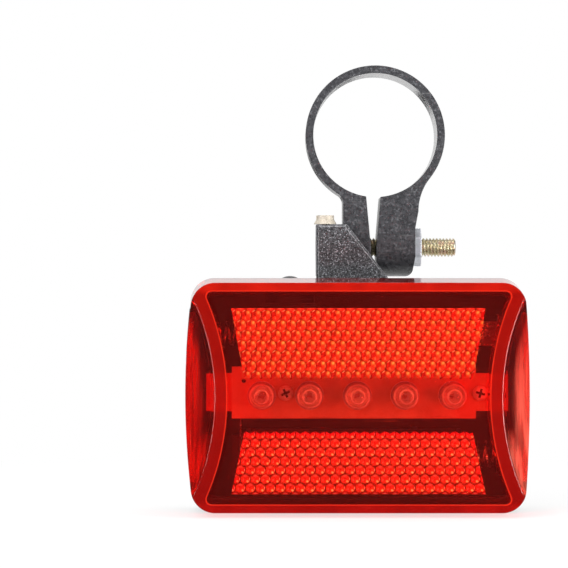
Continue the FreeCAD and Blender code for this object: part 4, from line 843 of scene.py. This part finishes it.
# %% Spinning helper
def spun(points, steps=40, axis="y", at=(0, 0, 0)):
    """A closed piece turned from (radius, distance along the axis) points, in millimetres."""
    shape = bmesh.new()
    along = {"x": Vector((1, 0, 0)), "y": Vector((0, 1, 0)), "z": Vector((0, 0, 1))}[axis]
    out = {"x": Vector((0, 1, 0)), "y": Vector((1, 0, 0)), "z": Vector((1, 0, 0))}[axis]
    rim = [shape.verts.new(out * radius + along * distance) for radius, distance in points]
    edges = [shape.edges.new(pair) for pair in zip(rim, rim[1:])]
    bmesh.ops.spin(
        shape, geom=rim + edges, cent=(0, 0, 0), axis=along, dvec=(0, 0, 0), angle=2 * math.pi,
        steps=steps, use_merge=True, use_duplicate=False)
    bmesh.ops.remove_doubles(shape, verts=shape.verts, dist=0.0005)
    bmesh.ops.recalc_face_normals(shape, faces=shape.faces)
    bmesh.ops.scale(shape, vec=(MM, MM, MM), verts=shape.verts)
    bmesh.ops.translate(shape, vec=Vector(at), verts=shape.verts)
    return shape


def arc_points(centre, radius, start, end, steps):
    """(radius, along) points on an arc about (centre radius, centre along), angles in degrees."""
    turns = [math.radians(start + (end - start) * step / steps) for step in range(steps + 1)]
    return [(centre[0] + radius * math.cos(turn), centre[1] + radius * math.sin(turn)) for turn in turns]


# %% Blocks, and joining
def block(low, high, radius, at=(0, 0, 0), segments=2):
    """A block with rounded edges, its corners in millimetres from a place in metres."""
    shape = bmesh.new()
    low, high = Vector(low), Vector(high)
    bmesh.ops.create_cube(shape, size=1)
    bmesh.ops.scale(shape, vec=high - low, verts=shape.verts)
    bmesh.ops.translate(shape, vec=(low + high) / 2, verts=shape.verts)
    if radius:
        bmesh.ops.bevel(
            shape, geom=shape.edges[:], offset=radius, segments=segments, profile=0.5, affect="EDGES",
            material=-1, clamp_overlap=True)
    bmesh.ops.scale(shape, vec=(MM, MM, MM), verts=shape.verts)
    bmesh.ops.translate(shape, vec=Vector(at), verts=shape.verts)
    return shape


def join(shape, more):
    """Add one bmesh to another and drop it."""
    mesh = bpy.data.meshes.new("joined")
    more.to_mesh(mesh)
    more.free()
    shape.from_mesh(mesh)
    bpy.data.meshes.remove(mesh)


# %% The five LEDs
FLANGE_PROFILE = [(0, 0), (2.82, 0), (2.9, -0.08), (2.9, -0.92), (2.82, -1.0), (2.5, -1.0)]
DOME_RADIUS = 2.5
CUP_PROFILE = [(0, -3.1), (0.5, -3.1), (1.15, -4.1), (1.45, -4.1), (1.1, -2.9), (0, -2.7)]

for number in range(1, 6):
    low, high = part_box(f"led_{number}")
    foot = Vector(((low.x + high.x) / 2, high.y, (low.z + high.z) / 2))
    length = (high.y - low.y) / MM
    dome = arc_points((0, DOME_RADIUS - length), DOME_RADIUS, 0, -90, 14)
    dome[-1] = (0, -length)
    bullet = spun(FLANGE_PROFILE + dome, steps=48, at=foot)
    across = bullet.verts.layers.float.new("across")
    for vertex in bullet.verts:
        vertex[across] = math.hypot(vertex.co.x - foot.x, vertex.co.z - foot.z) / MM
    led = from_bmesh(f"led_{number}_bullet", bullet, "head", [epoxy])
    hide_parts(f"led_{number}")
    cup = spun(CUP_PROFILE, steps=28, at=foot)
    join(cup, block((-0.35, -2.9, -0.95), (0.35, -0.4, 0.45), 0.06, foot))
    join(cup, block((-0.3, -3.2, 1.25), (0.3, -0.4, 1.75), 0.06, foot))
    from_bmesh(f"led_{number}_posts", cup, "head", [lead_metal])
    chip = block((-0.17, -3.25, -0.17), (0.17, -3.1, 0.17), 0.02, foot)
    from_bmesh(f"led_{number}_chip", chip, "head", [chip_gold])
    print("led", number, "length", round(length, 2), "faces", len(led.data.polygons))

# %% [markdown]
# ## Boards and steel
# The LED board is plain phenolic paper, tan, mottled and full of short pale fibres. The small
# switch board is green. The screws are zinc-plated steel, with painted shade inside their recesses,
# and the springs and contacts are nickel-plated.

# %% Board
def board_material(name):
    """Tan phenolic paper with paler fibres."""
    made, tree, shader = start_material(name)
    mottle = spread(tree, noise(tree, 3.0, detail=4, roughness=0.6), 0.3, 0.7)
    shade = mix_colour(tree, mottle, (0.66, 0.34, 0.2, 1), (0.54, 0.25, 0.14, 1))
    fibres = spread(tree, noise(tree, 0.35, detail=2), 0.45, 0.75, 0.0, 0.3)
    shade = mix_colour(tree, fibres, shade, (0.74, 0.45, 0.28, 1))
    fill(tree, shader.inputs["Base Color"], shade)
    shader.inputs["Roughness"].default_value = 0.5
    fill(tree, shader.inputs["Normal"], bump(tree, noise(tree, 0.5), 0.01))
    return made


def finish(node, material):
    """Give a CAD node its finish."""
    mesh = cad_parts[node].data
    mesh.materials.clear()
    mesh.materials.append(material)


board_green = plain("switch_board_green", (0.02, 0.05, 0.03, 1), 0.4, grain=(0.6, 0.01), wear=0.3)
finish("led_board", board_material("board_phenolic"))
finish("switch_board", board_green)
steel = plain("screw_steel", (0.95, 0.94, 0.92, 1), 0.45, metallic=0.35, grain=(0.35, 0.08), wear=0.3)
# Painted shade for the insides of the cross recesses.
recess_painted_shade = plain("recess_painted_shade", (0.15, 0.13, 0.11, 1), 0.6, metallic=0.3, grain=(0.3, 0.02), wear=0.3)
nickel = plain("spring_nickel", (0.8, 0.77, 0.72, 1), 0.25, metallic=1.0, grain=(0.5, 0.01), wear=0.15)

# %% [markdown]
# ## Cross-head screws
# A pan head is a low dome with a cross punched into it. The recess is carved out of the spun screw
# by two crossed bars, one after the other, with a boolean, and the faces inside it get a dark finish,
# which is painted shade. Each screw is turned by an angle of its own, as it was driven home.

# %% Carving
def carved(shape, cutter):
    """The first bmesh less the second."""
    holders = []
    for name, each in (("carved", shape), ("cutter", cutter)):
        mesh = bpy.data.meshes.new(name)
        each.to_mesh(mesh)
        each.free()
        holder = bpy.data.objects.new(name, mesh)
        bpy.context.collection.objects.link(holder)
        holders.append(holder)
    cut = holders[0].modifiers.new("cut", "BOOLEAN")
    cut.object = holders[1]
    cut.solver = "EXACT"
    graph = bpy.context.evaluated_depsgraph_get()
    result = bmesh.new()
    result.from_mesh(holders[0].evaluated_get(graph).data)
    for holder in holders:
        mesh = holder.data
        bpy.data.objects.remove(holder)
        bpy.data.meshes.remove(mesh)
    return result


# %% Cross recess
# The cutting bars reach far above any head. Faces this near the recess count as its own.
CUT_HEIGHT, SLACK = 9, 0.01


def cross_cut(shape, bottom, outward, arm, wide, turn):
    """Cut a cross recess. The middle of its floor is at the bottom point, and it opens outward."""
    facing = Vector((0, 1, 0)).rotation_difference(Vector(outward)).to_matrix()
    turned = facing @ Matrix.Rotation(math.radians(turn), 3, "Y")
    for across, up in ((arm, wide), (wide, arm)):
        bar = block((-across, 0, -up), (across, CUT_HEIGHT, up), 0)
        bmesh.ops.rotate(bar, verts=bar.verts, cent=(0, 0, 0), matrix=turned)
        bmesh.ops.translate(bar, verts=bar.verts, vec=bottom)
        shape = carved(shape, bar)
    for face in shape.faces:
        x, y, z = turned.inverted() @ (face.calc_center_median() - Vector(bottom)) / MM
        short, long = sorted((abs(x), abs(z)))
        wall = abs(face.normal.dot(Vector(outward))) < 0.3
        within = y > -SLACK and short < wide + SLACK and long < arm + SLACK
        # Painted shade: the recess's walls and floor take the dark second material.
        if within and (wall or y < SLACK):
            face.material_index = 1
    return shape


# %% Two pairs of screws
# Shares of the head's width, and of its height.
RECESS_ARM, RECESS_WIDTH, RECESS_FLOOR = 0.3, 0.075, 0.35


def cross_screw(at, head, rise, shank, length, turn):
    """A pan-head screw along Y from its seat, its head towards less Y for rise more than nothing."""
    way = -1 if rise > 0 else 1
    top = way * abs(rise)
    radius = head / 2
    quarter = arc_points((0, 0), 1, 0, 90, 8)[:-1]
    points = [(0, -way * length), (shank / 2, -way * length), (shank / 2, 0), (radius, 0)]
    points += [(radius * (0.55 + 0.45 * x), top * (0.25 + 0.75 * y)) for x, y in quarter]
    screw = spun(points + [(0, top)], steps=28)
    floor = (0, top * RECESS_FLOOR * MM, 0)
    screw = cross_cut(screw, floor, (0, way, 0), RECESS_ARM * head, RECESS_WIDTH * head, turn)
    bmesh.ops.translate(screw, verts=screw.verts, vec=Vector(at))
    return screw


def screw_pair(name, node, head, rise, shank, turns):
    """The two screws of a CAD node, one at each end of its box."""
    low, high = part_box(node)
    seat, tip = (low.y + rise * MM, high.y) if rise > 0 else (high.y + rise * MM, low.y)
    middle_z = (low.z + high.z) / 2
    pair = bmesh.new()
    for x, turn in zip((low.x + head / 2 * MM, high.x - head / 2 * MM), turns):
        join(pair, cross_screw((x, seat, middle_z), head, rise, shank, abs(tip - seat) / MM, turn))
    piece = from_bmesh(name, pair, "head", [steel, recess_painted_shade])
    print(name, "faces", len(piece.data.polygons))
    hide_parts(node)


screw_pair("board_cross_screws", "board_screws", head=3.1, rise=1.1, shank=1.8, turns=(25, -15))
screw_pair("socket_cross_screws", "socket_screws", head=3.6, rise=-1.4, shank=2.0, turns=(40, 10))

# %% [markdown]
# ## Battery springs
# Each is a cone of steel wire, wound from a wide end on the contact plate to a narrow end on the
# cell. A smooth curve through the turns, with a round bevel, is just what the wire is. It is made
# into a mesh at once, so that it is a piece like the others.

# %% Springs
# The wire's middle stays half a wire, and a hair, inside the node's box.
WIRE, END_INSET = 0.5, 0.27
POINTS_PER_TURN = 12


def spring_path(name, wide_end, narrow_end, y, z, turns, wide, narrow):
    """A wire wound about X from its wide end to its narrow one, as a curve."""
    curve = bpy.data.curves.new(name, "CURVE")
    curve.dimensions = "3D"
    curve.bevel_depth = WIRE / 2 * MM
    curve.bevel_resolution = 3
    curve.use_fill_caps = True
    curve.resolution_u = 3
    count = int(turns * POINTS_PER_TURN) + 1
    line = curve.splines.new("NURBS")
    line.points.add(count - 1)
    for index, point in enumerate(line.points):
        share = index / (count - 1)
        radius = (wide + (narrow - wide) * share) / 2 * MM
        turn = share * turns * 2 * math.pi
        x = wide_end + (narrow_end - wide_end) * share
        point.co = (x, y + radius * math.cos(turn), z + radius * math.sin(turn), 1)
    line.order_u = 4
    line.use_endpoint_u = True
    return curve


def spring(name, node, wide_at_left, turns=4.0, wide=6.0, narrow=4.0):
    """A conical spring in the place of a CAD node."""
    low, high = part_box(node)
    left, right = low.x + END_INSET * MM, high.x - END_INSET * MM
    ends = (left, right) if wide_at_left else (right, left)
    y, z = (low.y + high.y) / 2, (low.z + high.z) / 2
    curve = spring_path(f"{name}_path", *ends, y, z, turns, wide, narrow)
    holder = bpy.data.objects.new(f"{name}_path", curve)
    bpy.context.collection.objects.link(holder)
    graph = bpy.context.evaluated_depsgraph_get()
    mesh = bpy.data.meshes.new_from_object(holder.evaluated_get(graph))
    bpy.data.objects.remove(holder)
    bpy.data.curves.remove(curve)
    shape = bmesh.new()
    shape.from_mesh(mesh)
    bpy.data.meshes.remove(mesh)
    piece = from_bmesh(name, shape, "head", [nickel])
    print(name, "faces", len(piece.data.polygons))
    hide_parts(node)


spring("upper_coil", "upper_spring", wide_at_left=True)
spring("lower_coil", "lower_spring", wide_at_left=False)
for node in ("negative_contact", "positive_contact", "series_bridge"):
    finish(node, nickel)


# %% [markdown]
# ## Dry cells
# A plain jacket is shrunk round a steel can. It is nearly black, with a dark brown band at the
# button end, and leaves bare steel at both ends. Colour goes by the place along the cell, so the
# CAD node needs no seam.

# %% Cells
# The jacket stops short of the can's ends, and the button stands out at one of them.
BAND_LENGTH = 12
JACKET_INSET, BUTTON = 0.8, 1.0
JACKET_BLACK, JACKET_BROWN = (0.035, 0.037, 0.045, 1), (0.1, 0.05, 0.03, 1)


def jacket(name, left, right, band_right):
    """Dark jacket between two ends, given in millimetres along X, with a band at one of them."""
    made, tree, shader = start_material(name)
    x = sums(tree, "MULTIPLY", add(tree, "ShaderNodeSeparateXYZ", {0: place(tree)}).outputs["X"], 1 / MM)
    inside = sums(tree, "MULTIPLY", spread(tree, x, left, left + 0.1), spread(tree, x, right, right - 0.1))
    limit, way = (right - BAND_LENGTH, 1) if band_right else (left + BAND_LENGTH, -1)
    band = spread(tree, x, limit - 0.05 * way, limit + 0.05 * way)
    shade = mix_colour(tree, band, JACKET_BLACK, JACKET_BROWN)
    shade = mix_colour(tree, inside, (0.75, 0.73, 0.7, 1), shade)
    fill(tree, shader.inputs["Base Color"], shade)
    fill(tree, shader.inputs["Metallic"], sums(tree, "SUBTRACT", 1.0, inside))
    shader.inputs["Roughness"].default_value = 0.3
    fill(tree, shader.inputs["Normal"], bump(tree, noise(tree, 1.5), 0.015))
    return made


for node, button_right in (("upper_cell", True), ("lower_cell", False)):
    low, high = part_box(node)
    left, right = low.x / MM + JACKET_INSET, high.x / MM - JACKET_INSET
    left, right = (left, right - BUTTON) if button_right else (left + BUTTON, right)
    finish(node, jacket(f"{node}_jacket", left, right, button_right))
    print(node, "jacket from", round(left, 1), "to", round(right, 1))


# %% [markdown]
# ## Black plastics
# All are black, so what one sees is mostly their shine. The arm has the coarse grain of a
# spark-eroded mould, with scuffs and pale flecks, which are painted glints of the grain. The clamp's
# ring is smoother and glossier, a little wavy, and smoothest in its bore, where a post has worn it.
# The housing is fine and dull, and the button is soft rubber. The arm's rounded edges have a paler
# material of their own, a painted highlight along them.

# %% Grained plastic
BORE_WALL, PAST_WALL = 12.98 * MM, 13.1 * MM


def bore_distance(tree):
    """From the axis of the clamp's bore, which is the frame's Y axis."""
    parts = add(tree, "ShaderNodeSeparateXYZ", {0: place(tree)}).outputs
    return length_of(tree, parts["X"], parts["Z"])


def scuff_marks(tree):
    """Scratches, in patches."""
    patches = spread(tree, noise(tree, 6), 0.5, 0.58)
    return sums(tree, "MULTIPLY", scratches(tree, 5, 0.09, (0.3, 0.5, 0.9), 0.33), patches)


def grained(name, dark, light, roughness, grain, depth, glint_fleck=0.0, scuff=0.0, bore=False, waves=0.0):
    """Moulded plastic, lighter where its cloudy grain is high, with pale flecks painted as glints."""
    made, tree, shader = start_material(name)
    spots = add(tree, "ShaderNodeTexVoronoi", {"Vector": place(tree), "Scale": 1 / (grain * MM)})
    pits = spots.outputs["Distance"]
    cloud = noise(tree, grain * 1.8, detail=3, roughness=0.6)
    shade = mix_colour(tree, spread(tree, cloud, 0.4, 0.66), dark, light)
    shade = mix_colour(tree, spread(tree, noise(tree, 5, detail=2), 0.35, 0.7, 0.0, 0.4), shade, dark)
    # Painted glints: pale flecks where the grain would sparkle.
    if glint_fleck:
        painted_glint_specks = spread(tree, noise(tree, grain * 1.2, detail=1), 0.6, 0.68, 0.0, glint_fleck)
        shade = mix_colour(tree, painted_glint_specks, shade, (0.5, 0.51, 0.55, 1))
    if scuff:
        marks = spread(tree, scuff_marks(tree), 0, 1, 0, scuff)
        shade = mix_colour(tree, marks, shade, (0.5, 0.49, 0.48, 1))
    fill(tree, shader.inputs["Base Color"], shade)
    rough = spread(tree, cloud, 0.3, 0.7, roughness - 0.1, roughness + 0.12)
    if bore:
        across = bore_distance(tree)
        rough = sums(tree, "MULTIPLY", rough, spread(tree, across, BORE_WALL, PAST_WALL, 0.5, 1.0))
        outside = spread(tree, across, BORE_WALL, PAST_WALL)
        cloud, pits = (sums(tree, "MULTIPLY", height, outside) for height in (cloud, pits))
    fill(tree, shader.inputs["Roughness"], rough)
    wavy = bump(tree, noise(tree, 2.2, detail=2), waves) if waves else None
    fine = bump(tree, cloud, depth, wavy)
    fill(tree, shader.inputs["Normal"], bump(tree, pits, depth * 0.8, fine))
    return made


# %% Black plastics
arm_plastic = grained(
    "arm_coarse_black", (0.014, 0.014, 0.016, 1), (0.12, 0.12, 0.13, 1), roughness=0.4, grain=0.24,
    depth=0.08, glint_fleck=0.7, scuff=0.3)
# Painted highlight: a paler finish for the arm's rounded edges.
arm_edge_highlight = grained(
    "arm_edges_painted_highlight", (0.12, 0.12, 0.125, 1), (0.45, 0.45, 0.47, 1), roughness=0.35, grain=0.3,
    depth=0.02)
band_plastic = grained(
    "clamp_black", (0.04, 0.04, 0.044, 1), (0.066, 0.066, 0.073, 1), roughness=0.3, grain=0.4,
    depth=0.018, glint_fleck=0.12, scuff=0.25, bore=True, waves=0.09)
socket_plastic = grained(
    "socket_black", (0.014, 0.014, 0.015, 1), (0.05, 0.05, 0.053, 1), roughness=0.4, grain=0.25,
    depth=0.03, scuff=0.12)
housing_plastic = grained(
    "housing_black", (0.008, 0.008, 0.009, 1), (0.022, 0.022, 0.023, 1), roughness=0.5, grain=0.2,
    depth=0.02)
rubber = grained(
    "button_rubber", (0.025, 0.025, 0.027, 1), (0.05, 0.05, 0.053, 1), roughness=0.25, grain=0.15,
    depth=0.004)
print("materials", len(bpy.data.materials))

# %% [markdown]
# ## Softened pieces
# The mouldings are copies of their CAD nodes with rounded edges. The arm's corners are plainly round
# in the photograph, so its radius is the largest, and the housing's rim is nearly sharp there. The
# pieces that stay hidden, such as the chip and the ribbon, keep their CAD form and get a finish.

# %% Softened black pieces
def softened(name, node, body, materials, radius, segments=2, least_angle=28):
    """A rounded copy. The last of its materials goes on the rounded edges."""
    shape = merged_copy(node)
    rounds = soften(shape, radius, segments, least_angle)
    for face in rounds:
        face.material_index = len(materials) - 1
    print(name, "faces", len(shape.faces), "of them round", len(rounds))
    piece = from_bmesh(name, shape, body, materials, smooth=35)
    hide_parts(node)


# The arm's rounds take its last material, a painted highlight.
softened("arm", "bracket_arm", "bracket", [arm_plastic, arm_edge_highlight], 0.32)
softened("band", "clamp_band", "clamp", [band_plastic], 0.28)
softened("socket", "slide_socket", "head", [socket_plastic], 0.2)
softened("housing", "rear_housing", "head", [housing_plastic], 0.12)
softened("button", "mode_button", "button", [rubber], 0.15)

# %% Hidden pieces
finish("tact_switch", plain("switch_black", (0.03, 0.03, 0.03, 1), 0.4, grain=(0.2, 0.01)))
finish("controller_chip", plain("chip_black", (0.02, 0.02, 0.02, 1), 0.5, grain=(0.15, 0.01)))
finish("chip_resistors", plain("resistor_black", (0.03, 0.03, 0.03, 1), 0.4, grain=(0.2, 0.01)))
finish("switch_ribbon", plain("ribbon_grey", (0.4, 0.4, 0.42, 1), 0.5, grain=(0.6, 0.02), wear=0.1))


# %% [markdown]
# ## Zinc-plated hardware
# Yellow passivated zinc is a thin film over the metal: straw coloured, with pink clouds. The bolt
# and washer are yellow, the nut is paler and bluer, and the arm's screw is duller. The nut and the
# washer are softened copies, and the arm's screw gets a cross recess as well.

# %% Zinc
def zinc_plate(name, base, clouded, film, metallic, roughness):
    """Plated steel: one tone clouded with a second, under patches of a tinted film."""
    made, tree, shader = start_material(name)
    clouds = spread(tree, noise(tree, 1.8, detail=3), 0.35, 0.65)
    patches = spread(tree, noise(tree, 1.1, detail=3), 0.5, 0.68)
    shade = mix_colour(tree, clouds, base, clouded)
    shade = mix_colour(tree, sums(tree, "MULTIPLY", patches, 0.6), shade, film)
    fill(tree, shader.inputs["Base Color"], shade)
    shader.inputs["Metallic"].default_value = metallic
    rough = spread(tree, noise(tree, 0.5), 0.3, 0.7, roughness - 0.08, roughness + 0.1)
    fill(tree, shader.inputs["Roughness"], rough)
    fill(tree, shader.inputs["Normal"], bump(tree, noise(tree, 0.3), 0.012))
    return made


yellow_zinc = zinc_plate(
    "yellow_zinc", (0.62, 0.54, 0.34, 1), (0.7, 0.66, 0.5, 1), (0.78, 0.5, 0.45, 1), 0.7, 0.3)
blue_zinc = zinc_plate(
    "blue_zinc", (0.76, 0.79, 0.87, 1), (0.6, 0.62, 0.65, 1), (0.9, 0.91, 0.95, 1), 0.35, 0.35)
dull_zinc = zinc_plate(
    "dull_zinc", (0.66, 0.6, 0.5, 1), (0.56, 0.5, 0.4, 1), (0.7, 0.64, 0.56, 1), 0.3, 0.5)

# %% Washer, nut and arm screw
softened("washer", "clamp_washer", "clamp", [yellow_zinc], 0.08)
softened("nut", "clamp_nut", "clamp", [blue_zinc], 0.22)

low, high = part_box("arm_screw")
shape = merged_copy("arm_screw")
soften(shape, 0.12)
floor = ((low.x + high.x) / 2, (low.y + high.y) / 2, high.z - 0.7 * MM)
shape = cross_cut(shape, floor, (0, 0, 1), 1.0, 0.25, 20)
print("arm screw faces", len(shape.faces))
screw = from_bmesh("arm_cross_screw", shape, "bracket", [dull_zinc, recess_painted_shade])
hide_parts("arm_screw")


# %% [markdown]
# ## Clamp bolt
# An M4 cheese head and its shank are one profile, spun about the bolt's axis. The shank has six
# rings to each pitch of the thread. Each of their corners is moved towards the axis by a depth that
# goes by its turn and its place, so that one groove winds along the bolt, as a die cuts it. The
# CAD's thread is plain rings, because a helix is costly there.

# %% Thread
THREAD_RADIUS, THREAD_PITCH, THREAD_DEPTH = 2.0, 0.7, 0.43


def threaded(bolt, axis, thread_from, end):
    """Move the spun shank's rings in and out, so that one groove winds along it, and taper the end."""
    for vertex in bolt.verts:
        along = vertex.co.x / MM
        out = Vector((0, vertex.co.y, vertex.co.z)) - axis
        if along < thread_from or out.length < MM:
            continue
        turns = along / THREAD_PITCH - math.atan2(out.z, out.y) / (2 * math.pi)
        groove = THREAD_DEPTH * min(1.0, max(0.0, 1.3 * abs(2 * (turns % 1) - 1) - 0.15))
        reach = min(THREAD_RADIUS - groove, THREAD_RADIUS - THREAD_DEPTH + end - along)
        out *= reach * MM / out.length
        vertex.co = Vector((vertex.co.x, axis.y + out.y, axis.z + out.z))


# %% Clamp bolt
HEAD_HEIGHT, THREAD_FROM, RINGS_PER_PITCH = 2.6, -3.0, 6

low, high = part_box("clamp_bolt")
axis = Vector((0, (low.y + high.y) / 2, (low.z + high.z) / 2))
start, end = low.x / MM, high.x / MM
seat = start + HEAD_HEIGHT
points = [(0, start), (3.1, start), (3.5, start + 0.4), (3.5, seat), (2, seat), (2, THREAD_FROM)]
count = int((end - THREAD_FROM) / THREAD_PITCH * RINGS_PER_PITCH)
points += [(2, THREAD_FROM + (end - THREAD_FROM) * step / count) for step in range(1, count + 1)]
bolt = spun(points + [(0, end)], steps=28, axis="x", at=axis)
threaded(bolt, axis, THREAD_FROM, end)
bolt = cross_cut(bolt, (low.x + 1.4 * MM, axis.y, axis.z), (-1, 0, 0), 1.9, 0.42, 30)
bolt = from_bmesh("bolt", bolt, "clamp", [yellow_zinc, recess_painted_shade])
print("bolt faces", len(bolt.data.polygons))
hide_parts("clamp_bolt")
